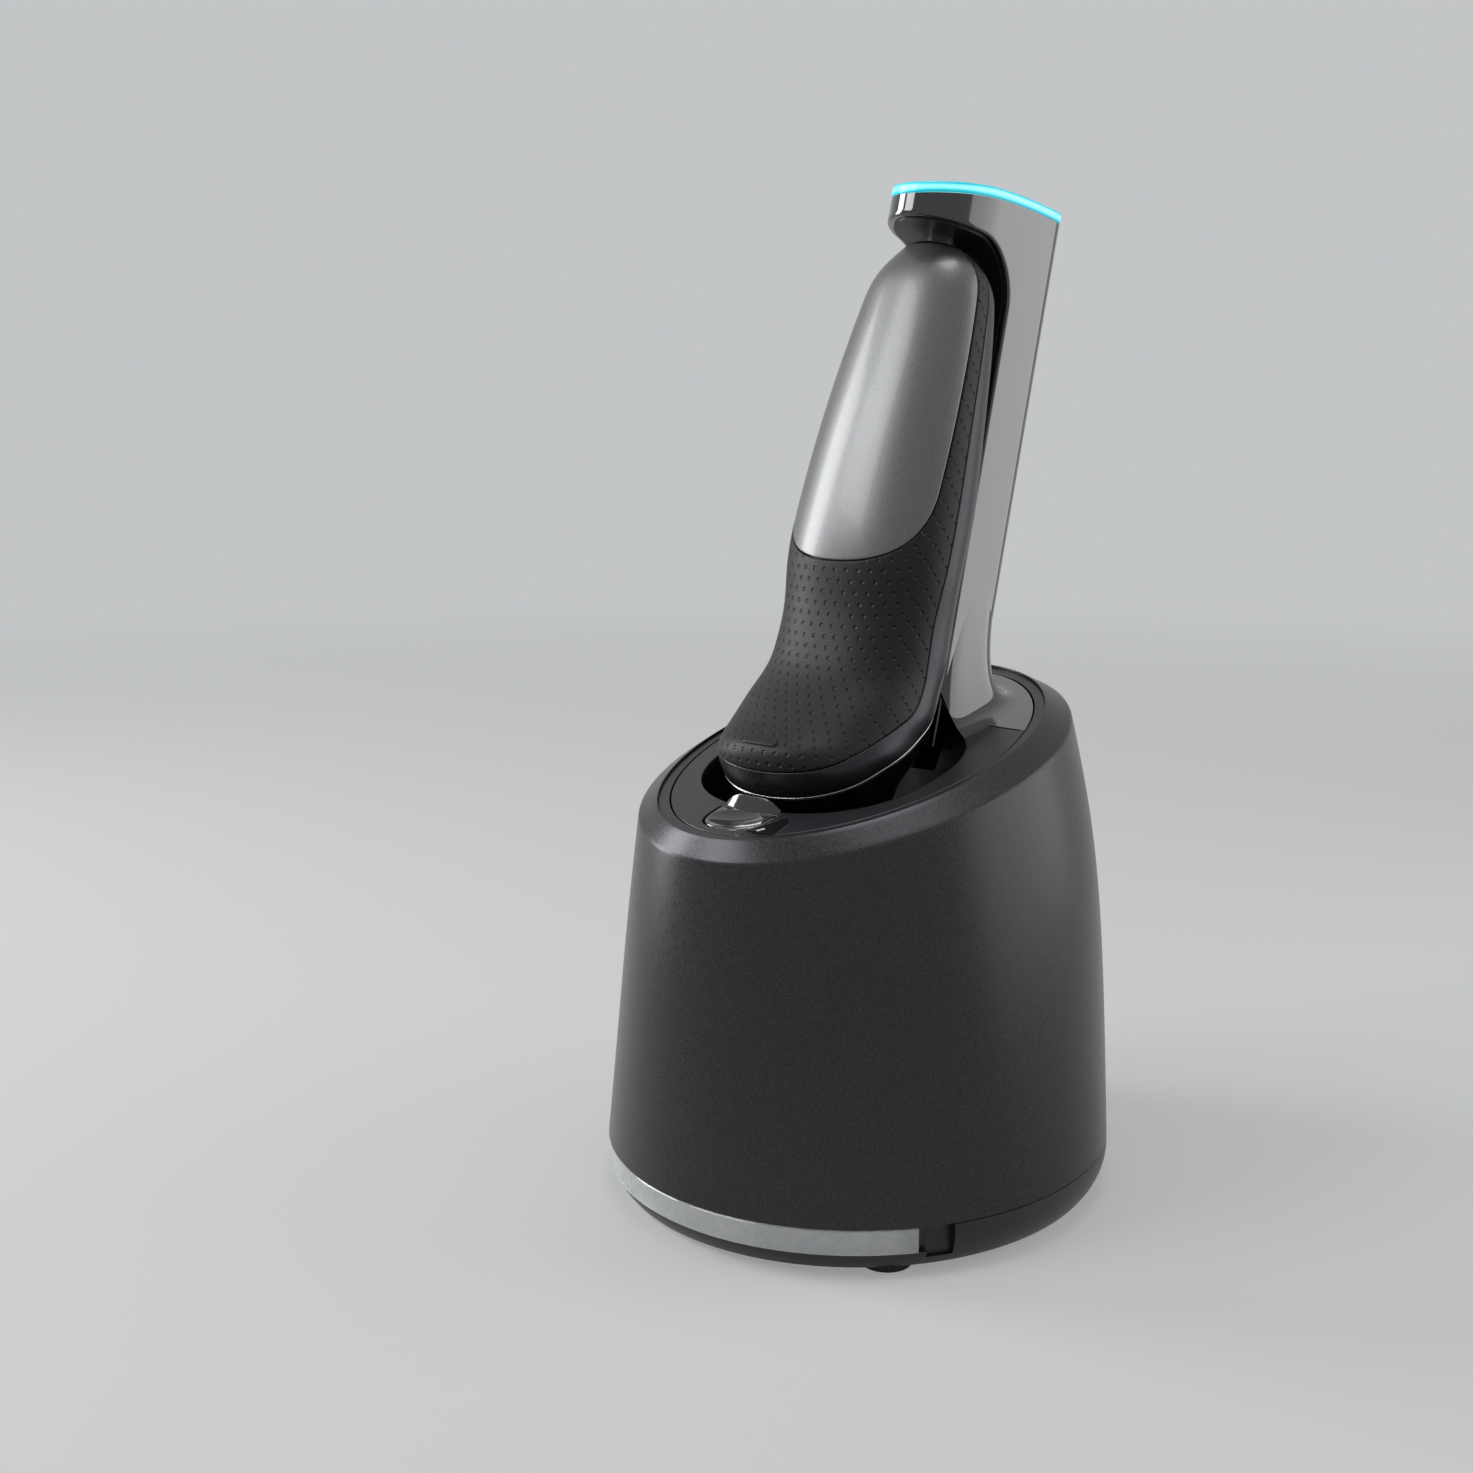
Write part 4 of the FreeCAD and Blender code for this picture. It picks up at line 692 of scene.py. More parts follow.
def arc(start: tuple[float, float], middle: tuple[float, float], end: tuple[float, float]) -> list:
    """Points of the circle arc through three points, without its first one.

    Args:
        start: first point.
        middle: point on the arc.
        end: last point.

    Returns:
        The arc's points in order.
    """
    (ax, ay), (bx, by), (cx, cy) = start, middle, end
    d = 2 * (ax * (by - cy) + bx * (cy - ay) + cx * (ay - by))
    a, b, c = ax ** 2 + ay ** 2, bx ** 2 + by ** 2, cx ** 2 + cy ** 2
    ux = (a * (by - cy) + b * (cy - ay) + c * (ay - by)) / d
    uy = (a * (cx - bx) + b * (ax - cx) + c * (bx - ax)) / d
    radius = math.hypot(ax - ux, ay - uy)
    first, last = math.atan2(ay - uy, ax - ux), math.atan2(cy - uy, cx - ux)
    through = math.atan2(by - uy, bx - ux)
    sweep = (last - first) % math.tau
    if (through - first) % math.tau > sweep:
        sweep -= math.tau
    steps = 14
    turns = [first + sweep * i / steps for i in range(1, steps + 1)]
    return [(ux + radius * math.cos(turn), uy + radius * math.sin(turn)) for turn in turns]


def smooth_through(knots: Sequence[float], values: Sequence[Sequence[float]],
                   places: np.ndarray) -> np.ndarray:
    """Natural cubic curve through values at rising knots.

    Args:
        knots: rising positions.
        values: one row of numbers for each knot.
        places: positions to read.

    Returns:
        One row of numbers for each place.
    """
    t, v = np.asarray(knots, float), np.asarray(values, float)
    h = np.diff(t)
    count = len(t)
    system = np.eye(count)
    right = np.zeros_like(v)
    for i in range(1, count - 1):
        system[i, i - 1:i + 2] = h[i - 1], 2 * (h[i - 1] + h[i]), h[i]
        right[i] = 6 * ((v[i + 1] - v[i]) / h[i] - (v[i] - v[i - 1]) / h[i - 1])
    bend = np.linalg.solve(system, right)
    k = np.clip(np.searchsorted(t, places, side="right") - 1, 0, count - 2)
    a, b = (t[k + 1] - places) / h[k], (places - t[k]) / h[k]
    cubic = ((a ** 3 - a)[:, None] * bend[k] + (b ** 3 - b)[:, None] * bend[k + 1]) * (h[k] ** 2)[:, None] / 6
    return a[:, None] * v[k] + b[:, None] * v[k + 1] + cubic


@dataclass
class Surface:
    """Grid of points that can be cut along an edge line and given a rounded edge there.

    Attributes:
        points: rows of points, in millimetres, in the part's own frame.
        wrap: whether each row closes on itself.
        marks: six numbers at each point, a pair for each UV layer.
    """

    points: np.ndarray
    wrap: bool = False
    marks: np.ndarray | None = None

    def changes(self, values: np.ndarray) -> tuple[np.ndarray, np.ndarray]:
        """Return how values change across and up the grid, one step each."""
        across = np.gradient(values, axis=1)
        if self.wrap:
            across = (np.roll(values, -1, 1) - np.roll(values, 1, 1)) / 2
        return across, np.gradient(values, axis=0)

    def directions(self, field: np.ndarray) -> tuple[np.ndarray, np.ndarray, np.ndarray]:
        """Work out the surface's own directions.

        Args:
            field: negative inside the piece.

        Returns:
            Outward normals, directions towards the piece's edge, and distances inside that edge.
        """
        a, b = self.changes(self.points)
        fa, fb = self.changes(field)
        normal = np.cross(a, b)
        normal /= np.linalg.norm(normal, axis=2, keepdims=True) + 1e-12
        aa, ab, bb = (a * a).sum(2), (a * b).sum(2), (b * b).sum(2)
        size = aa * bb - ab ** 2 + 1e-12
        slope = ((bb * fa - ab * fb) / size)[..., None] * a + ((aa * fb - ab * fa) / size)[..., None] * b
        steep = np.linalg.norm(slope, axis=2)
        return normal, slope / (steep[..., None] + 1e-9), -field / np.clip(steep, 0.2, 3.0)

    def cut(self, field: np.ndarray | None, edge: float, thickness: float) -> tuple[list, list, list]:
        """Keep the part of the surface where the field is negative, as a closed skin with rounded edges.

        Args:
            field: value at each point, or None to keep all.
            edge: radius of the rounded edge.
            thickness: the skin's thickness, or 0 for an open sheet.

        Returns:
            Vertices, faces and marks.
        """
        rows, columns = self.points.shape[:2]
        if field is None:
            field = np.full((rows, columns), -1e3)
        normals, outward, distance = self.directions(field)
        marks = self.marks if self.marks is not None else np.zeros((rows, columns, 6))
        stack = np.concatenate([self.points, normals, outward, marks], axis=2)
        level = edge - distance
        value, table = level.tolist(), []
        known, faces = {}, []

        def kept(here: tuple) -> int:
            """Return the number of a grid point's vertex, made on first use."""
            if here not in known:
                known[here] = len(table)
                table.append(stack[here])
            return known[here]

        def crossing(here: tuple, then: tuple) -> int:
            """Return the number of the vertex where a grid line meets the edge."""
            low, high = sorted((here, then))
            if (low, high) not in known:
                f_low, f_high = value[low[0]][low[1]], value[high[0]][high[1]]
                known[low, high] = len(table)
                table.append(stack[low] + f_low / (f_low - f_high) * (stack[high] - stack[low]))
            return known[low, high]

        inside = level <= 0
        over = np.roll(inside, -1, 1) if self.wrap else np.c_[inside[:, 1:], np.zeros((rows, 1), bool)]
        touched = inside[:-1] | over[:-1] | inside[1:] | over[1:]
        for i, j in np.argwhere(touched if self.wrap else touched[:, :-1]).tolist():
            k = (j + 1) % columns
            corners = [(i, j), (i, k), (i + 1, k), (i + 1, j)]
            loop = []
            for n, here in enumerate(corners):
                then = corners[(n + 1) % 4]
                stays = value[here[0]][here[1]] <= 0
                if stays:
                    loop.append(kept(here))
                if stays != (value[then[0]][then[1]] <= 0):
                    loop.append(crossing(here, then))
            loop = list(dict.fromkeys(loop))
            if len(loop) > 2:
                faces.append(loop)
        if not thickness:
            flat = np.array(table)
            return flat[:, :3].tolist(), faces, flat[:, 9:].tolist()
        return self.closed_skin(np.array(table), faces, edge, thickness)

    def closed_skin(self, table: np.ndarray, faces: list, edge: float,
                    thickness: float) -> tuple[list, list, list]:
        """Give a cut sheet its rounded edge, its rim and its inner face.

        Args:
            table: point, normal, direction towards the edge and marks of each vertex.
            faces: the sheet's faces.
            edge: radius of the rounded edge.
            thickness: the skin's thickness.

        Returns:
            Vertices, faces and marks.
        """
        sides = {(f[n], f[(n + 1) % len(f)]) for f in faces for n in range(len(f))}
        open_sides = [(a, b) for a, b in sides if (b, a) not in sides]
        point, normal, out, marks = table[:, :3], table[:, 3:6], table[:, 6:9], table[:, 9:]
        normal = normal / (np.linalg.norm(normal, axis=1, keepdims=True) + 1e-9)
        out = out / (np.linalg.norm(out, axis=1, keepdims=True) + 1e-9)
        count = len(table)
        ring = sorted({v for side in open_sides for v in side})
        number = {v: n for n, v in enumerate(ring)}
        vertices, tags, made = [point], [marks], list(faces)
        previous = {v: v for v in ring}
        start = count
        for turn, sink in [(t, 0.0) for t in np.linspace(0, math.pi / 2, 5)[1:]] + [(math.pi / 2, 1.0)]:
            deep = edge * (1 - math.cos(turn)) + sink * (thickness - edge)
            vertices.append(point[ring] + out[ring] * edge * math.sin(turn) - normal[ring] * deep)
            tags.append(marks[ring])
            current = {v: start + number[v] for v in ring}
            made += [[previous[b], previous[a], current[a], current[b]] for a, b in open_sides]
            previous = current
            start += len(ring)
        vertices.append(point - normal * thickness)
        tags.append(marks)
        made += [[previous[b], previous[a], start + a, start + b] for a, b in open_sides]
        made += [[start + v for v in reversed(f)] for f in faces]
        return np.concatenate(vertices).tolist(), made, np.concatenate(tags).tolist()


@dataclass
class Piece:
    """Mesh that is being made for one named part.

    Attributes:
        name: the piece's name.
        body: the moving body that it rides on.
        slot: the record's material slot; not used.
        finish: its surface.
        stands_for: the construction nodes that it replaces.
        at: frame that its points are given in.
    """

    name: str
    body: str
    slot: str
    finish: Finish
    stands_for: Sequence[str] = ()
    at: np.ndarray = field(default_factory=lambda: UPRIGHT)
    vertices: list = field(default_factory=list)
    faces: list = field(default_factory=list)
    uvs: list = field(default_factory=list)

    def add(self, vertices: Iterable, faces: Iterable, uvs: Iterable | None = None) -> "Piece":
        """Add points and faces, and return the piece."""
        start = len(self.vertices)
        self.vertices += [tuple(v) for v in vertices]
        self.faces += [[start + n for n in f] for f in faces]
        plain = [(0.0,) * 6] * (len(self.vertices) - start)
        self.uvs += plain if uvs is None else [tuple(u) for u in uvs]
        return self

    def add_surface(self, surface: Surface, keep: np.ndarray | None, edge: float,
                    thickness: float) -> "Piece":
        """Add a surface cut by a field as a skin, and return the piece."""
        return self.add(*surface.cut(keep, edge, thickness))

    def add_rows(self, rows: Sequence[np.ndarray], closed: bool = False, caps: bool = False) -> "Piece":
        """Add rings of points joined into a skin.

        Args:
            rows: rings with the same number of points.
            closed: whether the last ring joins the first.
            caps: whether the first and last ring are filled.

        Returns:
            The piece.
        """
        count = len(rows[0])
        faces = []
        for i in range(len(rows) if closed else len(rows) - 1):
            a, b = i * count, ((i + 1) % len(rows)) * count
            faces += [[a + j, a + (j + 1) % count, b + (j + 1) % count, b + j] for j in range(count)]
        if caps:
            last = (len(rows) - 1) * count
            faces += [list(range(count))[::-1], [last + j for j in range(count)]]
        return self.add([p for row in rows for p in row], faces)

    def mesh(self) -> bpy.types.Object:
        """Return the bare object of the points and faces so far."""
        local = np.c_[np.array(self.vertices, float), np.ones(len(self.vertices))]
        mesh = bpy.data.meshes.new(self.name)
        mesh.from_pydata(((local @ self.at.T)[:, :3] * MM).tolist(), [], self.faces)
        tags = np.array(self.uvs)[[loop.vertex_index for loop in mesh.loops]]
        for name, part in (("UVMap", tags[:, :2]), ("Pitch", tags[:, 2:4]), ("Lean", tags[:, 4:])):
            mesh.uv_layers.new(name=name).data.foreach_set("uv", part.ravel())
        return add_object(self.name, mesh)

    def helper(self) -> bpy.types.Object:
        """Return a closed solid used as a cutter and removed afterwards."""
        made = self.mesh()
        settle(made, 30)
        return made

    def finish_object(self, bevel: float = 0.0, sharp: float = 50.0,
                      cutters: Sequence[bpy.types.Object] = ()) -> bpy.types.Object:
        """Make the object: cuts, rounded edges, shading and finish.

        Args:
            bevel: radius of rounded edges.
            sharp: edges bent by more degrees than this stay crisp.
            cutters: solids taken away.

        Returns:
            The finished object.
        """
        made = self.mesh()
        for cutter in cutters:
            hole = made.modifiers.new("opening", "BOOLEAN")
            hole.object, hole.operation, hole.solver = cutter, "DIFFERENCE", "EXACT"
        if bevel:
            edge = made.modifiers.new("edge", "BEVEL")
            edge.width, edge.segments, edge.limit_method = bevel * MM, 3, "ANGLE"
            edge.angle_limit, edge.use_clamp_overlap = math.radians(35), True
        settle(made, sharp)
        for cutter in cutters:
            bpy.data.objects.remove(cutter)
        made.data.materials.clear()
        made.data.materials.append(self.finish.material())
        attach(made, self.body)
        if self.stands_for:
            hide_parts(*self.stands_for)
        LOG.info("%s: %d vertices", self.name, len(made.data.vertices))
        return made


def settle(made: bpy.types.Object, sharp: float) -> None:
    """Apply an object's modifiers and set which edges look crisp.

    Args:
        made: the object.
        sharp: edges bent by more degrees than this stay crisp.
    """
    if made.modifiers:
        view = bpy.context.evaluated_depsgraph_get()
        view.update()
        mesh = bpy.data.meshes.new_from_object(made.evaluated_get(view))
        made.modifiers.clear()
        made.data = mesh
    tidy = bmesh.new()
    tidy.from_mesh(made.data)
    bmesh.ops.recalc_face_normals(tidy, faces=tidy.faces)
    tidy.to_mesh(made.data)
    tidy.free()
    made.data.shade_smooth()
    made.data.set_sharp_from_angle(angle=math.radians(sharp))


def add_object(name: str, data: bpy.types.ID) -> bpy.types.Object:
    """Return a new object that shows the data in the scene."""
    made = bpy.data.objects.new(name, data)
    bpy.context.scene.collection.objects.link(made)
    return made


def block(low: Sequence[float], high: Sequence[float]) -> bpy.types.Object:
    """Helper box used as a cutter and removed afterwards.

    Args:
        low: its lowest corner.
        high: its highest corner.

    Returns:
        The helper object.
    """
    mesh = bpy.data.meshes.new("cutter")
    shape = bmesh.new()
    bmesh.ops.create_cube(shape, size=1.0)
    for v in shape.verts:
        v.co = Vector([l + (h - l) * (c + 0.5) for l, h, c in zip(low, high, v.co)]) * MM
    shape.to_mesh(mesh)
    shape.free()
    return add_object("cutter", mesh)


def plane(x: tuple[float, float], y: tuple[float, float], step: float, height: float = 0.0) -> Surface:
    """Flat grid facing up.

    Args:
        x: its reach along X.
        y: its reach along Y.
        step: spacing of its points.
        height: its level.

    Returns:
        The grid.
    """
    xs = np.linspace(*x, int((x[1] - x[0]) / step) + 1)
    ys = np.linspace(*y, int((y[1] - y[0]) / step) + 1)
    gx, gy = np.meshgrid(xs, ys)
    return Surface(np.stack([gx, gy, np.full_like(gx, height)], axis=-1))


# ---------------------------------------------------------------- housing and deck


@dataclass
class Housing:
    """Outer shell of the station.

    Attributes:
        sections: height, half width, half depth, middle and rise towards the rear of each shaping oval.
        wall: wall thickness.
        ledge: ledge that carries the deck.
        recess: depth of the mouth down to the ledge.
        ceiling: level of the inner ceiling below the deck's plane.
        points: points of a ring.
        ports: half width, lower and upper edge of the openings at the rear.
    """

    sections: tuple = ((12.0, 62.5, 66.2, -2.0, 0.0), (45.0, 57.8, 68.1, -0.05, 0.35 * SLOPE),
                       (80.0, 52.2, 67.75, 0.05, 0.7 * SLOPE), (107.7, 47.6, 62.6, -2.9, SLOPE))
    lip: tuple = (111.5, 40.7, 57.9, -4.4, SLOPE)
    wall: float = 2.4
    ledge: float = 2.4
    recess: float = 3.0
    ceiling: float = 6.38
    points: int = 224
    ports: tuple = ((8.2, 17.8, 30.2), (9.4, 52.6, 63.4))

    def ring(self, section: Sequence[float]) -> np.ndarray:
        """Return the ring of points of one section."""
        height, half_width, half_depth, middle, rise = section
        plan = oval(np.linspace(0, math.tau, self.points, endpoint=False), half_width, half_depth)
        return np.c_[plan[:, 0], plan[:, 1] + middle, height + rise * plan[:, 1]]

    def wall_rows(self, inset: float, drop: float, places: np.ndarray) -> list[np.ndarray]:
        """Rings of the outer or inner wall.

        Args:
            inset: how far inside the outer surface.
            drop: how much lower the last section is.
            places: heights of the rings at their middles.

        Returns:
            One ring for each height.
        """
        table = [(h - (drop if i == 3 else 0), w - inset, d - inset, y, s)
                 for i, (h, w, d, y, s) in enumerate(self.sections)]
        knots = [row[0] for row in table]
        return [self.ring(row) for row in smooth_through(knots, table, np.asarray(places))]

    def rounded(self, before: np.ndarray, corner: np.ndarray, after: np.ndarray,
                steps: int) -> list[np.ndarray]:
        """Rings that round a corner between two rings."""
        shares = np.linspace(0, 1, steps + 1)
        return [(1 - t) ** 2 * before + 2 * t * (1 - t) * corner + t ** 2 * after for t in shares]

    def build(self) -> None:
        """Make the shell with its bevel, mouth, ledge and rear openings."""
        outside = self.wall_rows(0.0, 0.0, np.linspace(12.0, 106.9, 64))
        rim, lip = self.ring(self.sections[3]), self.ring(self.lip)
        bevel = lip - rim
        rim_after, lip_before = rim + 0.08 * bevel, rim + 0.95 * bevel
        down = np.array([0, math.sin(math.radians(DECK_TILT)), -math.cos(math.radians(DECK_TILT))])
        rows = outside[:-1] + self.rounded(outside[-1], rim, rim_after, 6)
        rows += [rim + t * bevel for t in (0.2, 0.35, 0.5, 0.65, 0.8)]
        rows += self.rounded(lip_before, lip, lip + 0.5 * down, 4)
        rows += [lip + self.recess * down]
        turn = np.linspace(0, math.tau, self.points, endpoint=False)
        edge = oval(turn, self.lip[1] - self.ledge, DECK_DEPTH - self.ledge)
        for level in (-self.recess, -self.ceiling):
            flat = np.c_[edge, np.full(self.points, level), np.ones(self.points)]
            rows.append((flat @ DECK.T)[:, :3])
        rows += self.wall_rows(self.wall, self.wall, np.linspace(105.3, 12.0, 22))
        rear = self.sections[0][2]
        holes = [block((-half, rear - 12, low), (half, rear + 12, high)) for half, low, high in self.ports]
        shell = Piece("housing_outer", "housing", "graphite", GraphiteLacquer(), ["housing_shell"])
        shell.add_rows(rows, closed=True).finish_object(sharp=35, cutters=holes)


@dataclass
class Deck:
    """Sloping deck with its well, start button, raised tab and status light.

    Attributes:
        button: half width, length, rear edge and fullness of the start button.
        seam: where the tower's gloss skirt begins.
        thickness: the deck's thickness.
        dish: half width, half length and depth of the button's hollow.
        tab: half width, foot and edge of the raised tab.
        grid: half width and half depth of the grids that the deck is cut from.
    """

    button: tuple = (8.0, 9.8, -43.0, 3.4)
    seam: float = 21.4
    thickness: float = 2.2
    dish: tuple = (7.6, 4.9, 1.0)
    tab: tuple = (8.0, -42.45, -41.35)
    grid: tuple = (41.4, 59.8)

    def hole_field(self, p: np.ndarray, hole: tuple) -> np.ndarray:
        """Return the distance outside an oval hole."""
        half_width, half_depth, middle, power = hole
        return oval_field(p[..., 0], p[..., 1] - middle, half_width, half_depth, power)

    def button_field(self, p: np.ndarray, grow: float) -> np.ndarray:
        """Return the distance outside the start button's plan."""
        half_width, length, rear, power = self.button
        front = oval_field(p[..., 0], p[..., 1] - rear, half_width + grow, length + grow, power)
        return np.maximum(front, p[..., 1] - rear - grow)

    def build(self) -> None:
        """Make the deck's surfaces and controls."""
        wide, long = self.grid
        sheet = plane((-wide, wide), (-long, 21.8), 0.5, DECK_LEVEL)
        p = sheet.points
        keep = np.maximum.reduce([
            deck_outline(p) + GROOVE + 0.3, p[..., 1] - self.seam, -self.hole_field(p, WELL),
            -self.button_field(p, 0.4), 0.15 - self.hole_field(p, FOOT)])
        panel = Piece("deck", "housing", "graphite", DeckAbs(), ["deck_panel"], DECK)
        panel.add_surface(sheet, keep, 0.35, self.thickness).finish_object()
        sheet = plane((-wide, wide), (-long, long), 0.5, DECK_LEVEL)
        outer = deck_outline(sheet.points)
        ring = Piece("deck_ring", "housing", "graphite", DeckAbs(), at=DECK)
        ring.add_surface(sheet, np.maximum(outer, -outer - GROOVE), 0.15, 1.6).finish_object()
        self.raised_tab()
        self.start_button()
        self.light_window()

    def raised_tab(self) -> None:
        """Make the raised tab between the start button and the well."""
        half, foot, edge = self.tab
        top = DECK_LEVEL
        side = [(foot, top - 1.0), (foot + 1.6, top + 3.0), (edge + 1.0, top + 2.7), (edge, top - 1.0)]
        rows = []
        for x in np.linspace(-half, half, 33):
            share = max(0.0, (abs(x) - 2.6) / (half - 2.6))
            tall = 1 - 0.86 * share ** 2.2
            bow = 0.9 * (1 - (x / half) ** 2)
            rows.append(np.array([(x, y - bow * (n < 1), top + (z - top) * (tall if z > top else 1))
                                  for n, (y, z) in enumerate(side)]))
        tab = Piece("deck_tab", "housing", "gloss_black", PianoBlack(), at=DECK)
        tab.add_rows(rows, caps=True).finish_object(bevel=0.2, sharp=40)

    def start_button(self) -> None:
        """Make the D-shaped key with its hollow."""
        middle = self.button[2] - self.button[1] / 2
        cap = plane((-8.4, 8.4), (-53.2, -42.6), 0.28, DECK_LEVEL)
        p = cap.points
        wide, long, deep = self.dish
        reach = np.hypot(p[..., 0] / wide, (p[..., 1] - middle) / long)
        p[..., 2] -= deep * np.clip(1 - reach ** 2, 0, 1)
        key = Piece("start_key", "start_button", "gloss_black", PianoBlack(), ["start_button"], DECK)
        key.add_surface(cap, self.button_field(p, 0.0), 0.4, 4.2).finish_object()

    def light_window(self) -> None:
        """Make the smoked facet around the status light."""
        corners = [(11.7, -43.4), (13.4, -45.6), (14.2, -51.2), (7.2, -55.0), (5.6, -53.8), (9.0, -49.0)]
        sheet = plane((4.6, 15.0), (-56.0, -42.4), 0.3, DECK_LEVEL + 0.06)
        p = sheet.points
        keep = outline_field(p[..., 0], p[..., 1], corners) - 0.5
        window = Piece("status_window", "housing", "gloss_black", PianoBlack(), at=DECK)
        window.add_surface(sheet, keep, 0.05, 0.1).finish_object()


# ---------------------------------------------------------------- tower


@dataclass
class Tower:
    """Leaning tower with its head, light band and liner.

    Attributes:
        half_width: half width of column and head.
        half_depth: half depth of the column.
        reach: nose in front of the column's centre.
        nose: length of the rounded nose.
        corner: rounded rear corners.
        underside: underside of the head above the foot.
        fillet: inner corner between head and column.
        crown: height of the top at the nose, half way and at the rear.
        band: height of the light band.
        wall: wall thickness.
        seam: where the skirt begins on the deck.
        skirt: the skirt's thickness.
        flare: height and spread of the foot's flare.
        pin: radius of the contact pin's hole, and how far it lies before the column's centre.
    """

    half_width: float = 13.5
    half_depth: float = 10.4
    reach: float = 41.2
    nose: float = 20.0
    corner: float = 5.0
    underside: float = 119.5
    fillet: float = 15.0
    crown: tuple = (127.6, 133.2, 136.3)
    band: float = 2.7
    wall: float = 1.8
    seam: float = 21.55
    skirt: float = 2.2
    flare: tuple = (26.0, 11.5)
    pin: tuple = (3.75, 24.7)

    def plan(self, inset: float, step: float) -> np.ndarray:
        """Closed outline seen from above.

        Args:
            inset: how far inside the outer outline.
            step: spacing of its points.

        Returns:
            Its points, from the middle of the back round the right side and the nose.
        """
        half, rear = self.half_width - inset, self.half_depth - inset
        corner = max(self.corner - inset, 0.5)
        start, length = -self.reach + self.nose, self.nose - inset
        turn = np.linspace(math.pi / 2, 0, 12)
        side = [(0.0, rear)] + [(half - corner + corner * math.cos(t), rear - corner + corner * math.sin(t))
                                for t in turn]
        turn = np.linspace(0, math.pi / 2, 30)[1:]
        side += [(half, start)] + [(half * math.cos(t), start - length * math.sin(t)) for t in turn]
        corners = np.array(side + [(-x, y) for x, y in side[-2:0:-1]] + [side[0]])
        run = np.r_[0, np.cumsum(np.hypot(*np.diff(corners, axis=0).T))]
        even = np.linspace(0, run[-1], int(run[-1] / step) + 1)[:-1]
        return np.stack([np.interp(even, run, column) for column in corners.T], axis=1)[::-1]

    def crown_at(self, y: np.ndarray) -> np.ndarray:
        """Return the top's height at a depth, along the arc through its three heights."""
        ys = (-self.reach, (self.half_depth - self.reach) / 2, self.half_depth)
        return np.polyval(np.polyfit(ys, self.crown, 2), y)

    def channel(self, inset: float) -> list[tuple[float, float]]:
        """Side view of the open front: up the column, round the fillet and out under the head.

        Args:
            inset: how far behind the shell's front edge.

        Returns:
            Points from the column's foot to the nose.
        """
        front, under = -self.half_depth + inset, self.underside + inset
        bend = self.fillet + inset
        middle = (front - bend + bend * math.sqrt(0.5), under - bend + bend * math.sqrt(0.5))
        start = (front, under - bend)
        return [(front, -8.0), start, *arc(start, middle, (front - bend, under))]

    def build(self) -> None:
        """Make all of the tower's pieces."""
        self.shell()
        self.foot()
        self.liner()
        self.light_band()

    def shell(self) -> None:
        """Make the gloss shell: its wall cut along the side view, with rounded front edges."""
        ring = self.plan(0.0, 0.8)
        share = np.linspace(0, 1, 170)[:, None]
        top = self.crown_at(ring[:, 1]) - self.band - 0.15
        heights = -6.0 + share * (top + 6.0)
        plan = [np.broadcast_to(column, heights.shape) for column in ring.T]
        points = np.stack([*plan, heights], axis=-1)
        around = [(-80, self.underside), (-80, 220), (80, 220), (80, -40), (-self.half_depth, -40)]
        keep = outline_field(points[..., 1], points[..., 2], self.channel(0.0) + around)
        shell = Piece("tower_skin", "housing", "gloss_black", PianoBlack(), ["tower_shell"], TOWER)
        shell.add_surface(Surface(points, wrap=True), keep, 0.8, self.wall).finish_object()

    def foot(self) -> None:
        """Make the gloss skirt behind the deck and the flare up into the column."""
        sheet = plane((-40.6, 40.6), (21.0, 59.4), 0.6, DECK_LEVEL)
        p = sheet.points
        keep = np.maximum(deck_outline(p) + 2.5, self.seam - p[..., 1])
        skirt = Piece("tower_skirt", "housing", "gloss_black", PianoBlack(), at=DECK)
        skirt.add_surface(sheet, keep, 0.35, self.skirt).finish_object()
        tall, wide = self.flare
        rises = np.linspace(0.0, 1.0, 44) ** 1.7 * tall
        spreads = wide * (1 - (rises / tall) ** 0.34) ** 1.7
        lean = math.tan(math.radians(DECK_TILT - TOWER_TILT))
        turn = np.linspace(0, math.tau, 160, endpoint=False)
        rows = []
        for rise, spread in zip([-self.skirt, *rises], [wide, *spreads]):
            plan = oval(turn, 13.52 + spread, 11.8 + spread, 3.0 + 2.4 * (1 - spread / wide))
            rows.append(np.c_[plan[:, 0], plan[:, 1] + FOOT[2] + max(rise, 0) * lean,
                              np.full(len(turn), rise + DECK_LEVEL)])
        half_width, half_depth, middle, power = WELL
        plan = oval(turn, half_width, half_depth, power) + (0, middle)
        cutter = Piece("cutter", "housing", "", Finish(), at=DECK)
        cutter.add_rows([np.c_[plan, np.full(len(turn), z)] for z in (-25.0, 40.0)], caps=True)
        flare = Piece("tower_flare", "housing", "gloss_black", PianoBlack(), at=DECK)
        flare.add_rows(rows, caps=True).finish_object(cutters=[cutter.helper()])

    def liner(self) -> None:
        """Make the satin channel plate, with the contact pin's hole."""
        half, inset = self.half_width - self.wall, 1.0
        line = self.channel(inset)
        line = [(line[0][0], z) for z in np.linspace(-6, line[1][1], 40)] + line[2:]
        line += [(y, line[-1][1]) for y in np.linspace(line[-1][0], -self.reach, 24)[1:]]
        xs = np.linspace(-half, half, 60)
        points = np.array([[(x, y, z) for x in xs] for y, z in line])
        outline = [tuple(q) for q in self.plan(self.wall, 1.0)]
        radius, ahead = self.pin
        keep = np.maximum(outline_field(points[..., 0], points[..., 1], outline),
                          radius - np.hypot(points[..., 0], points[..., 1] + ahead))
        keep = np.where(points[..., 2] > 60, keep, -1.0)
        liner = Piece("tower_channel", "housing", "liner_grey", LinerAbs(), ["tower_liner"], TOWER)
        liner.add_surface(Surface(points[:, ::-1]), keep, 0.2, 1.5).finish_object()

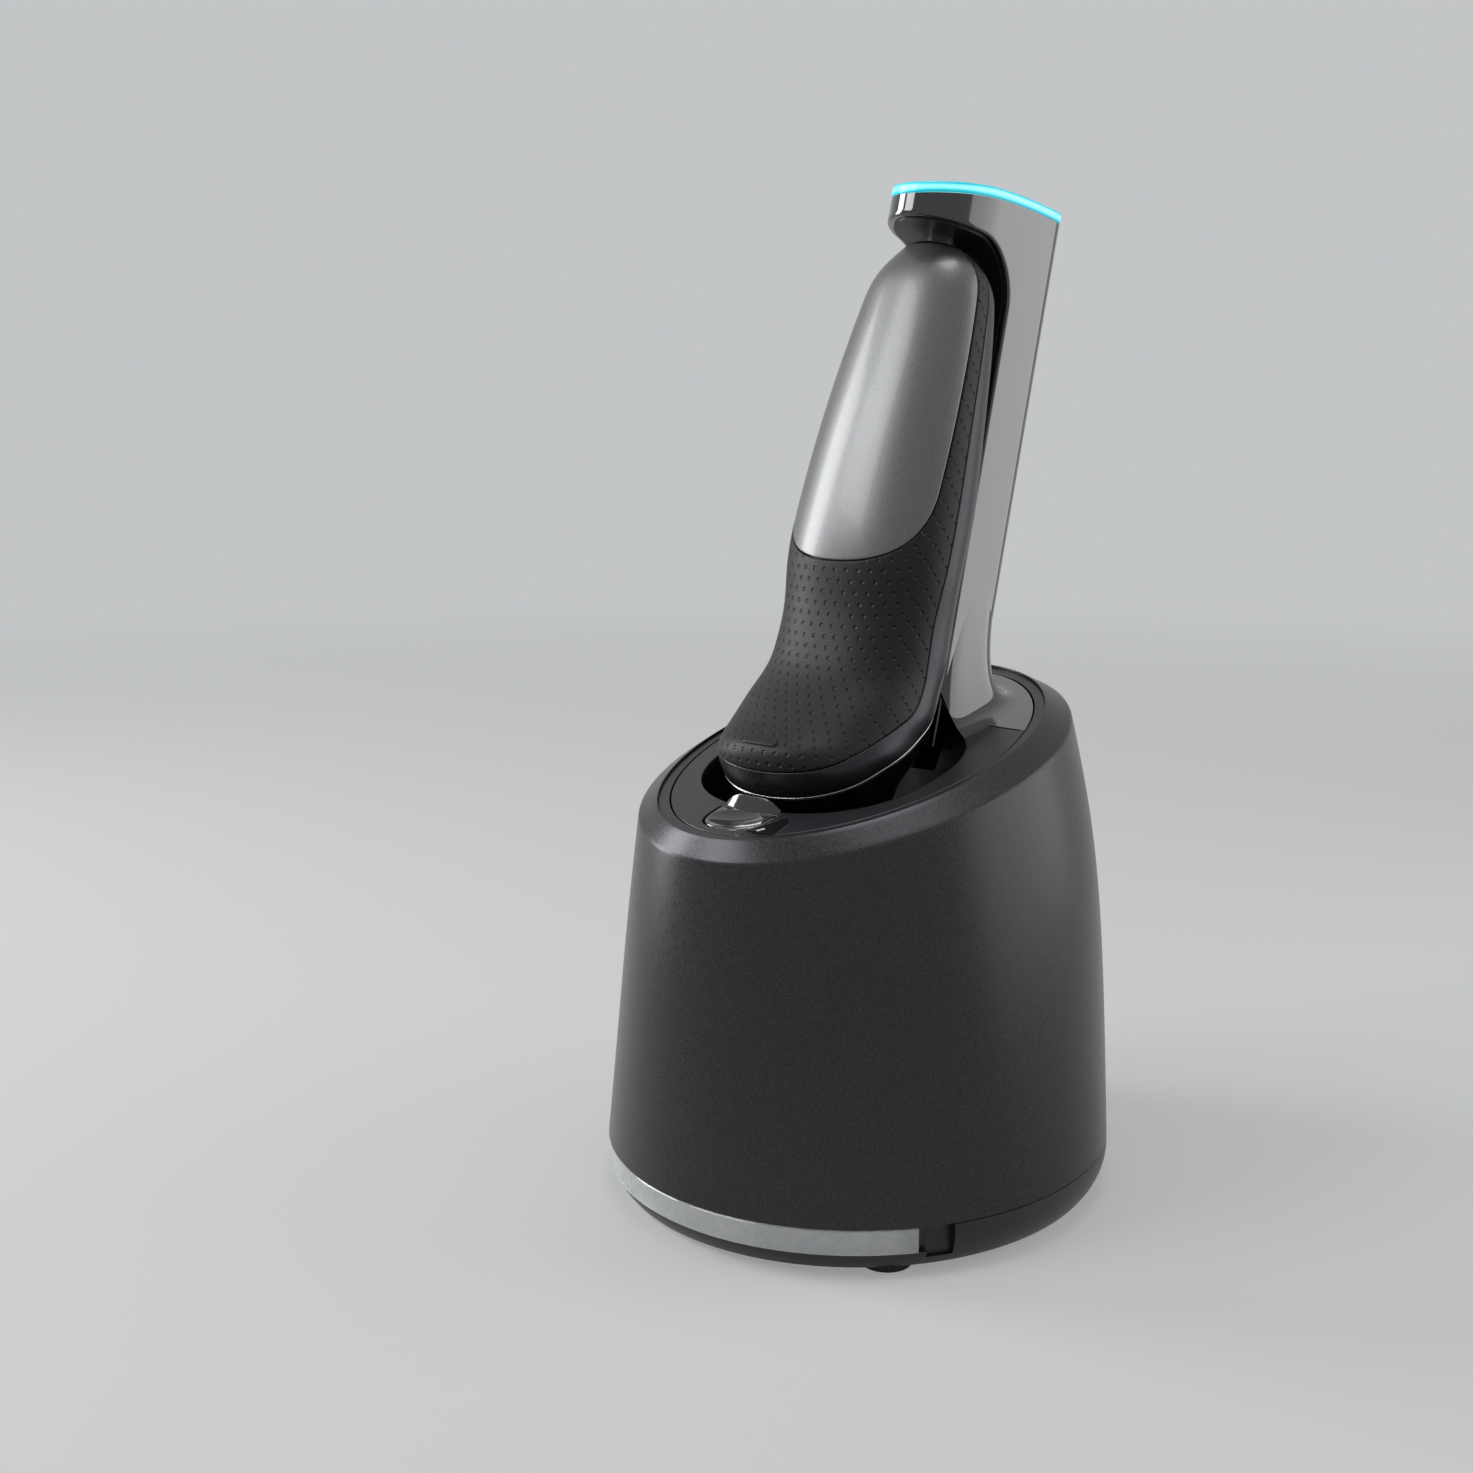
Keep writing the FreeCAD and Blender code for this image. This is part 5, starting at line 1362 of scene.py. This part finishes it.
    def light_band(self) -> None:
        """Make the lit band on the crown, with its rounded upper edge."""
        turn = np.linspace(0, math.pi / 2, 7)
        radius = 0.7
        profile = [(0.25, 0.0, 0.0), (0.0, 0.25, 0.08)]
        profile += [(0.0, z, z / self.band) for z in np.linspace(0.5, self.band - radius, 8)]
        profile += [(radius * (1 - math.cos(t)), self.band - radius + radius * math.sin(t),
                     0.85 + 0.15 * t / 1.6) for t in turn[1:]]
        rows, marks = [], []
        for inset, rise, mark in profile:
            ring = self.plan(inset, 0.8)
            if rows and len(ring) != len(rows[0]):
                ring = ring[np.linspace(0, len(ring), len(rows[0]), endpoint=False).astype(int)]
            rows.append(np.c_[ring, self.crown_at(ring[:, 1]) - self.band + rise])
            marks.append([(0.0, mark, 0.0, 0.0, 0.0, 0.0)] * len(ring))
        for k in np.linspace(1, 0, 8)[1:]:
            ring = rows[len(profile) - 1]
            rows.append(np.c_[ring[:, 0] * k, ring[:, 1], ring[:, 2]])
            marks.append([(0.0, 0.5 + 0.4 * k, 0.0, 0.0, 0.0, 0.0)] * len(ring))
        band = Piece("light_crown", "housing", "strip_cyan", OpalBand(), ["light_strip"], TOWER)
        band.add_rows(rows)
        band.uvs = [m for row in marks for m in row]
        band.finish_object(sharp=60)


# ---------------------------------------------------------------- shaver


@dataclass
class Shaver:
    """Docked shaver: one smooth form cut into cover, grip, panel, body and collar.

    Attributes:
        length: from the tilt axis to the shaver's end.
        half_width: grip at its middle.
        half_depth: grip at its middle.
        sections: shares of length, half width, half depth, and half depth again for the shift.
        gap: joint around each cover.
        wall: thickness of the skins.
        joint: height, shift and slope in degrees of the joint between collar and grip.
        square: share of a height above the joint that counts square to it.
        collar: how far the collar's joint lies below the grip's.
        ring_radius: radius of the bright line in the collar's joint.
        power: radius and height of the power button's hole.
        panel: half width of the front panel, its foot and its top, as shares.
        ridge: half width, height and half thickness of the thumb ridge.
        dimple_pitch: spacing of the dimples along a row.
        dimple_row: spacing of the rows.
    """

    length: float = 153.9
    half_width: float = 22.8
    half_depth: float = 17.0
    gap: float = 0.15
    wall: float = 1.2
    joint: tuple = (17.2, 28.8, 40.2)
    square: float = 0.76
    collar: float = 9.2
    ring_radius: float = 0.15
    power: tuple = (6.3, 92.0)
    panel: tuple = (0.57, 0.377, 0.916)
    ridge: tuple = (5.0, 24.1, 0.9)
    dimple_pitch: float = 3.1
    dimple_row: float = 2.7
    sections: tuple = (
        (0.055, 0.649, 0.941, -0.306), (0.078, 0.768, 1.053, -0.400), (0.110, 0.895, 1.171, -0.518),
        (0.143, 0.965, 1.241, -0.571), (0.175, 1.031, 1.188, -0.424), (0.208, 1.039, 1.124, -0.282),
        (0.247, 1.039, 1.065, -0.112), (0.292, 0.987, 1.029, 0.047), (0.338, 0.974, 1.006, 0.106),
        (0.390, 0.969, 0.988, 0.094), (0.455, 0.996, 0.994, 0.012), (0.559, 1.000, 1.012, 0.000),
        (0.708, 0.925, 0.940, 0.000), (0.812, 0.850, 0.860, 0.018), (0.903, 0.760, 0.775, 0.035),
        (0.952, 0.655, 0.680, 0.035), (0.981, 0.492, 0.549, 0.018), (0.9948, 0.382, 0.476, 0.000))

    def form(self, inset: float = 0.0, rows: int = 250, columns: int = 240) -> Surface:
        """Smooth outer form.

        Args:
            inset: how far inside the outer form.
            rows: rings along it.
            columns: points on a ring.

        Returns:
            The closed rings as a surface.
        """
        knots = [s[0] for s in self.sections]
        places = np.linspace(knots[0], knots[-1], rows)
        table = smooth_through(knots, self.sections, places)
        turn = np.linspace(math.pi / 2, math.pi / 2 + math.tau, columns, endpoint=False)
        rings = []
        for share, wide, deep, shift in table:
            plan = oval(turn, wide * self.half_width - inset, deep * self.half_depth - inset, 2.2)
            rings.append(np.c_[plan[:, 0], plan[:, 1] + shift * self.half_depth,
                               np.full(columns, share * self.length)])
        points = np.array(rings)
        return Surface(points, wrap=True, marks=self.dimple_marks(points))

    def dimple_marks(self, points: np.ndarray) -> np.ndarray:
        """Lay out the grip's dimples: place along a row, row, both spacings here, and the rows' lean.

        Args:
            points: the form's rings.

        Returns:
            Six numbers for each point, the last one unused.
        """
        steps = np.linalg.norm(np.diff(points, axis=0), axis=2)
        run = np.vstack([np.zeros(points.shape[1]), np.cumsum(steps, axis=0)])
        above = self.above_joint(points, 0.0)
        start = np.array([np.interp(0.0, above[:, j], run[:, j]) for j in range(points.shape[1])])
        middle = points[len(points) // 3]
        around = np.linalg.norm(np.roll(middle, -1, 0) - middle, axis=1)
        place = np.broadcast_to((np.cumsum(around) - around) / self.dimple_pitch, run.shape)
        row = (run - 0.4 * start - 0.6 * start[len(start) // 2]) / self.dimple_row - 0.3
        up = [np.gradient(field, axis=0) for field in (points, place, row)]
        along = []
        for field in (points, place, row):
            step = (np.roll(field, -1, 1) - np.roll(field, 1, 1)) / 2
            step[:, [0, -1]] = step[:, [1, -2]]
            along.append(step)
        area = along[1] * up[2] - up[1] * along[2]
        across = (up[2][..., None] * along[0] - along[2][..., None] * up[0]) / area[..., None]
        over = (along[1][..., None] * up[0] - up[1][..., None] * along[0]) / area[..., None]
        wide = np.linalg.norm(across, axis=2)
        aside = (across * over).sum(2) / wide
        high = np.sqrt(np.clip((over * over).sum(2) - aside ** 2, 0.01, None))
        return np.stack([place, row, wide, high, aside / high, 0 * row], axis=2)

    def above_joint(self, p: np.ndarray, drop: float) -> np.ndarray:
        """Return the height above the slanted grip joint, lowered by drop."""
        height, shift, slope = self.joint
        return p[..., 2] - (height - drop + math.tan(math.radians(slope)) * (p[..., 1] + shift))

    def shares(self, *pairs: tuple[float, float]) -> list[tuple[float, float]]:
        """Return points of the side view from shares of half depth and length."""
        return [(self.half_depth * a, self.length * b) for a, b in pairs]

    def cover_field(self, p: np.ndarray) -> np.ndarray:
        """Return the distance outside the back cover."""
        a, b, c, d, e, f = self.shares((-3.0, 0.454), (-1.03, 0.454), (-0.647, 0.517), (-0.465, 0.598),
                                       (-0.07, 1.04), (-3.0, 1.04))
        return outline_field(p[..., 1], p[..., 2], [a, b, *arc(b, c, d), e, f])

    def grip_field(self, p: np.ndarray) -> np.ndarray:
        """Return the distance outside the rubber grip's half."""
        a, b, c, d, e, f, g, h, i = self.shares(
            (-3.0, 0.0), (-0.394, 0.0), (-0.394, 0.2333), (-0.17, 0.264), (-0.035, 0.305), (-0.112, 0.533),
            (0.2, 1.02), (0.2, 1.1), (-3.0, 1.1))
        side = outline_field(p[..., 1], p[..., 2], [a, b, c, *arc(c, d, e), *arc(e, f, g), h, i])
        return np.maximum(side, -self.above_joint(p, 0.0) * self.square)

    def panel_field(self, p: np.ndarray) -> np.ndarray:
        """Return the distance outside the front panel."""
        wide, foot, top = self.panel
        half, low, high = wide * self.half_width, foot * self.length, top * self.length
        first, last = low + half, high - half
        outline = [(half, first), (half, last), *arc((half, last), (0, high), (-half, last)),
                   (-half, first), *arc((-half, first), (0, low), (half, first))]
        facing = outline_field(p[..., 0], p[..., 2], outline)
        return np.where(p[..., 1] > self.half_depth / 4, facing, 20.0)

    def button_field(self, p: np.ndarray) -> np.ndarray:
        """Return the distance inside the power button's hole."""
        radius, height = self.power
        inside = radius - np.hypot(p[..., 0], p[..., 2] - height)
        return np.where(p[..., 1] > 0, inside, -20.0)

    def build(self) -> None:
        """Make the covers, body, joint ring, collar and inner form."""
        form = self.form()
        p = form.points
        cover, grip, panel = self.cover_field(p), self.grip_field(p), self.panel_field(p)
        ring = self.above_joint(p, self.collar) * self.square
        piece = Piece("shaver_silver_cover", "shaver", "silver_paint", SilverLacquer(),
                      ["shaver_back_cover"], SHAVER)
        piece.add_surface(form, cover, 0.4, self.wall).finish_object()
        piece = Piece("shaver_rubber_grip", "shaver", "grip_rubber", DimpledRubber(), ["shaver_grip"], SHAVER)
        piece.add_surface(form, np.maximum(grip, self.gap - cover), 0.4, self.wall)
        self.add_thumb_ridge(piece)
        piece.finish_object()
        piece = Piece("shaver_gloss_panel", "shaver", "gloss_black", PianoBlack(),
                      ["shaver_front_panel"], SHAVER)
        piece.add_surface(form, np.maximum(panel, self.button_field(p)), 0.35, self.wall).finish_object()
        body = np.maximum.reduce([self.gap - np.minimum(grip, cover), self.gap - panel, 0.25 - ring])
        piece = Piece("shaver_frame", "shaver", "body_graphite", BodyLacquer(), ["shaver_body"], SHAVER)
        piece.add_surface(form, body, 0.25, self.wall)
        inner = self.form(inset=1.0, rows=90, columns=96)
        piece.add_surface(inner, None, 0.0, 0.0)
        piece.finish_object()
        piece = Piece("shaver_ring_line", "shaver", "chrome_ring", SatinChrome(), at=SHAVER)
        piece.add_rows(self.joint_ring(), closed=True).finish_object()
        piece = Piece("shaver_dark_collar", "shaver", "collar_black", CollarAbs(), ["shaver_collar"], SHAVER)
        piece.add_surface(form, ring + 0.25, 0.25, self.wall).finish_object()

    def joint_ring(self) -> list[np.ndarray]:
        """Rings of the thin bright line in the collar joint.

        Returns:
            Small loops around the joint, one after another.
        """
        form = self.form(inset=0.12)
        above = self.above_joint(form.points, self.collar)
        share = np.array([np.interp(0.0, above[:, j], np.arange(len(above))) for j in range(above.shape[1])])
        low = share.astype(int)
        part = (share - low)[:, None]
        columns = np.arange(above.shape[1])
        line = form.points[low, columns] * (1 - part) + form.points[low + 1, columns] * part
        centre = line.mean(axis=0)
        along = np.roll(line, -1, 0) - np.roll(line, 1, 0)
        along /= np.linalg.norm(along, axis=1, keepdims=True)
        slope = math.radians(self.joint[2])
        up = np.array([0.0, -math.sin(slope), math.cos(slope)])
        side = np.cross(along, up)
        side *= np.sign((side * (line - centre)).sum(axis=1, keepdims=True))
        turn = np.linspace(0, math.tau, 8, endpoint=False)
        return [line + self.ring_radius * (math.cos(t) * side + math.sin(t) * up) for t in turn]

    def add_thumb_ridge(self, piece: Piece) -> None:
        """Add the raised bar at the grip's foot to the grip."""
        form = self.form(inset=-0.5)
        p = form.points
        half, height, thick = self.ridge
        bar = np.maximum.reduce([
            np.abs(p[..., 0]) - half, np.abs(p[..., 2] - height) - thick, p[..., 1] + self.half_depth])
        # marks of 0.02 leave the bar without dimples and paint it all over in the dimples' near-black painted
        # pit shade
        form.marks = np.full((*p.shape[:2], 6), 0.02)
        piece.add_surface(form, bar, 0.4, 0.6)


# ---------------------------------------------------------------- base


@dataclass
class LevelWindow:
    """Clear band in the tray's front with ribs on its inner face.

    Attributes:
        half_width: outer half width of the band's oval.
        half_depth: outer half depth of the band's oval.
        middle: Y of the oval's centre.
        low: lower edge.
        high: upper edge.
        depth: thickness of the band.
        rib: spacing of the ribs.
        span: half of the band's turn, in degrees.
        border: turn without ribs beside the notch, in degrees.
        ridge: height of a rib.
        edge: size of the broken edges.
    """

    half_width: float = 62.5
    half_depth: float = 66.2
    middle: float = -2.0
    low: float = 5.8
    high: float = 11.7
    depth: float = 2.2
    rib: float = 1.4
    span: float = 50.7
    border: float = 3.6
    ridge: float = 0.55
    edge: float = 0.25

    def build(self) -> None:
        """Make the band: smooth outside, ribbed inside, plain beside the notch."""
        half = math.radians(self.span)
        plain = half - math.radians(self.border)
        outside = np.linspace(-half, half, 260)
        count = int(2 * half * (self.half_width + self.half_depth) / 2 / self.rib)
        inside = [(half, self.depth)]
        for i in range(count):
            for share, ridge in ((0.0, self.ridge), (0.25, 0.0), (0.65, 0.0), (0.9, self.ridge)):
                inside.append((plain - (plain + half) * (i + share) / count, self.depth - ridge))
        line = [(t, 0.0) for t in outside] + inside
        rows = []
        low, high, edge = self.low, self.high, self.edge
        for z, draw in ((low, edge), (low + edge, 0.0), (high - edge, 0.0), (high, edge)):
            insets = [(t, max(d, draw)) for t, d in line]
            rows.append(np.array([((self.half_width - d) * math.sin(t),
                                   self.middle - (self.half_depth - d) * math.cos(t), z) for t, d in insets]))
        window = Piece("window_band", "base", "clear", ClearAcrylic(), ["level_window"])
        window.add_rows(rows, caps=True).finish_object(sharp=25)


class Carried(Enum):
    """Construction nodes that keep their own mesh, with the finish that each gets."""

    TRAY = (TrayAbs(), ("base_tray",))
    RUBBER = (FootRubber(), ("rubber_feet",))
    STEEL = (SpringSteel(), ("lift_spring",))
    REFILL = (RefillPolypropylene(), ("cartridge_tank",))
    FLUID = (CleaningFluid(), ("cartridge_fluid",))
    LID = (LidPolypropylene(), ("cartridge_lid",))
    GRAPHITE = (GraphiteLacquer(), ("lift_button",))
    INNER = (InnerAbs(), ("chassis_plate", "lift_post", "pump_housing"))
    MOTOR = (ZincPlate(), ("pump_motor",))
    BOARD = (SolderMask(), ("circuit_board", "start_switch", "light_board"))
    SOCKET = (SocketNylon(), ("power_socket",))
    BRASS = (TurnedBrass(), ("power_pins",))
    LIGHT = (LightPipe(), ("status_light",))
    BOWL = (BowlPolypropylene(), ("wash_bowl",))
    TUBE = (SiliconeTube(), ("feed_tube", "suction_tube"))
    PIN = (BurnishedSteel(), ("contact_pin",))
    ROTOR = (NaturalAcetal(), ("pump_rotor",))
    COLLAR = (CollarAbs(), ("shaver_end_cap", "shaver_head"))
    FOIL = (EtchedFoil(), ("shaver_foils",))
    GLOSS = (PianoBlack(), ("power_button",))

    def dress(self) -> None:
        """Give the nodes their finish."""
        finish, names = self.value
        for name in names:
            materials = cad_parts[name].data.materials
            materials.clear()
            materials.append(finish.material())
            LOG.info("%s: %s", name, finish.name)


# ---------------------------------------------------------------- studio


@dataclass
class Studio:
    """Pale floor, soft lamps and the camera.

    Attributes:
        floor_colour: the paper under the object.
        pale: the background that eye, gloss and glass see.
        eye: the camera's place in millimetres.
        azimuth: the camera's turn about the vertical, in degrees.
        elevation: how far it looks down, in degrees.
        focal: its focal length in millimetres.
        shift: its sideways and upward shift, as shares of the picture.
        lamps: name, place, target, size and power of each soft box, in metres and watts.
    """

    floor_colour: str = "#cfd0d1"
    pale: str = "#c3c5c7"
    eye: tuple = (260.4, -355.5, 195.5)
    azimuth: float = 40.109
    elevation: float = 10.656
    focal: float = 43.74
    shift: tuple = (-0.0075, -0.0016)
    lamps: tuple = (
        ("left", (-0.88, -0.37, 0.36), (0, 0, 0.16), (0.34, 0.9), 9.0),
        ("right", (0.36, 0.33, 0.33), (0, 0, 0.33), (0.42, 0.6), 1.25),
        ("key", (-0.50, -0.75, 0.90), (0, 0, 0.10), (0.5, 0.5), 5.0),
        ("top", (0.0, 0.1, 1.1), (0, 0, 0.1), (0.45, 0.45), 3.0))

    def build(self) -> None:
        """Make the floor, the lamps, the world and the camera."""
        self.floor()
        for lamp in self.lamps:
            self.lamp(*lamp)
        self.world()
        self.camera()

    def seen(self, tree: bpy.types.NodeTree) -> bpy.types.NodeSocket:
        """Return 1 for what eye, gloss and glass rays see, and 0 for the light on the object."""
        path = add_node(tree, "ShaderNodeLightPath")
        eye, gloss, glass = (path.outputs[f"Is {ray} Ray"] for ray in ("Camera", "Glossy", "Transmission"))
        return compute(tree, "MAXIMUM", compute(tree, "MAXIMUM", eye, gloss), glass)

    def floor(self) -> None:
        """Make a wide pale floor that keeps the object's shadow."""
        mesh = bpy.data.meshes.new("floor")
        mesh.from_pydata([(-9, -9, 0), (9, -9, 0), (9, 9, 0), (-9, 9, 0)], [], [[0, 1, 2, 3]])
        made = add_object("floor", mesh)
        made.rotation_euler = (0, 0, math.radians(self.azimuth))
        paper = Finish(name="studio_paper", colour=self.floor_colour, second=self.floor_colour,
                       roughness=0.75, grain=1.0, relief=0.005)
        sheet = paper.material()
        tree = sheet.node_tree
        end = next(n for n in tree.nodes if n.type == "OUTPUT_MATERIAL")
        lit = end.inputs["Surface"].links[0].from_socket
        pale = add_node(tree, "ShaderNodeEmission", {"Color": linear(self.pale), "Strength": 1.0})
        far = add_node(tree, "ShaderNodeVectorMath", {
            0: add_node(tree, "ShaderNodeTexCoord").outputs["Object"]}, operation="LENGTH")
        share = add_node(tree, "ShaderNodeMapRange", {
            "Value": far.outputs["Value"], "From Min": 0.1, "From Max": 1.3, "To Min": 0.5, "To Max": 1.0})
        seen = compute(tree, "MULTIPLY", self.seen(tree), share.outputs[0])
        both = add_node(tree, "ShaderNodeMixShader", {0: seen, 1: lit, 2: pale.outputs[0]})
        tree.links.new(both.outputs[0], end.inputs["Surface"])
        mesh.materials.append(sheet)

    def lamp(self, name: str, place: Sequence[float], target: Sequence[float], size: tuple[float, float],
             power: float) -> None:
        """Add a soft box.

        Args:
            name: the lamp's name.
            place: its place in metres.
            target: the point that it faces.
            size: width and height in metres.
            power: its power in watts.
        """
        light = bpy.data.lights.new(name, "AREA")
        light.shape, light.size, light.size_y, light.energy = "RECTANGLE", *size, power
        made = add_object(name, light)
        made.location = place
        made.rotation_euler = (Vector(target) - Vector(place)).to_track_quat("-Z", "Y").to_euler()

    def world(self) -> None:
        """Set a calm grey surround."""
        scene = bpy.context.scene
        scene.world = bpy.data.worlds.new("surround")
        scene.world.use_nodes = True
        tree = scene.world.node_tree
        tree.nodes.clear()
        light = add_node(tree, "ShaderNodeBackground", {"Color": linear("#c9cacb"), "Strength": 0.3})
        pale = add_node(tree, "ShaderNodeBackground", {"Color": linear(self.pale), "Strength": 1.0})
        both = add_node(tree, "ShaderNodeMixShader", {
            0: self.seen(tree), 1: light.outputs[0], 2: pale.outputs[0]})
        add_node(tree, "ShaderNodeOutputWorld", {"Surface": both.outputs[0]})
        scene.view_settings.view_transform = "Standard"

    def camera(self) -> None:
        """Place the camera at the working view."""
        lens = bpy.data.cameras.new("camera")
        lens.sensor_width, lens.lens = 36.0, self.focal
        lens.shift_x, lens.shift_y = self.shift
        lens.clip_start, lens.clip_end = 0.01, 20.0
        made = add_object("camera", lens)
        made.location = Vector(self.eye) * MM
        made.rotation_euler = (math.radians(90 - self.elevation), 0, math.radians(self.azimuth))
        bpy.context.scene.camera = made


def main() -> None:
    """Build every sub-assembly in order, dress the construction nodes and set up the studio."""
    logging.basicConfig(level=logging.INFO, format="%(name)s %(message)s")
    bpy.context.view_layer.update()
    for part in (Housing(), LevelWindow(), Deck(), Tower(), Shaver()):
        LOG.info("building %s", type(part).__name__)
        part.build()
    for carried in Carried:
        carried.dress()
    Studio().build()


if __name__ == "__main__":
    main()
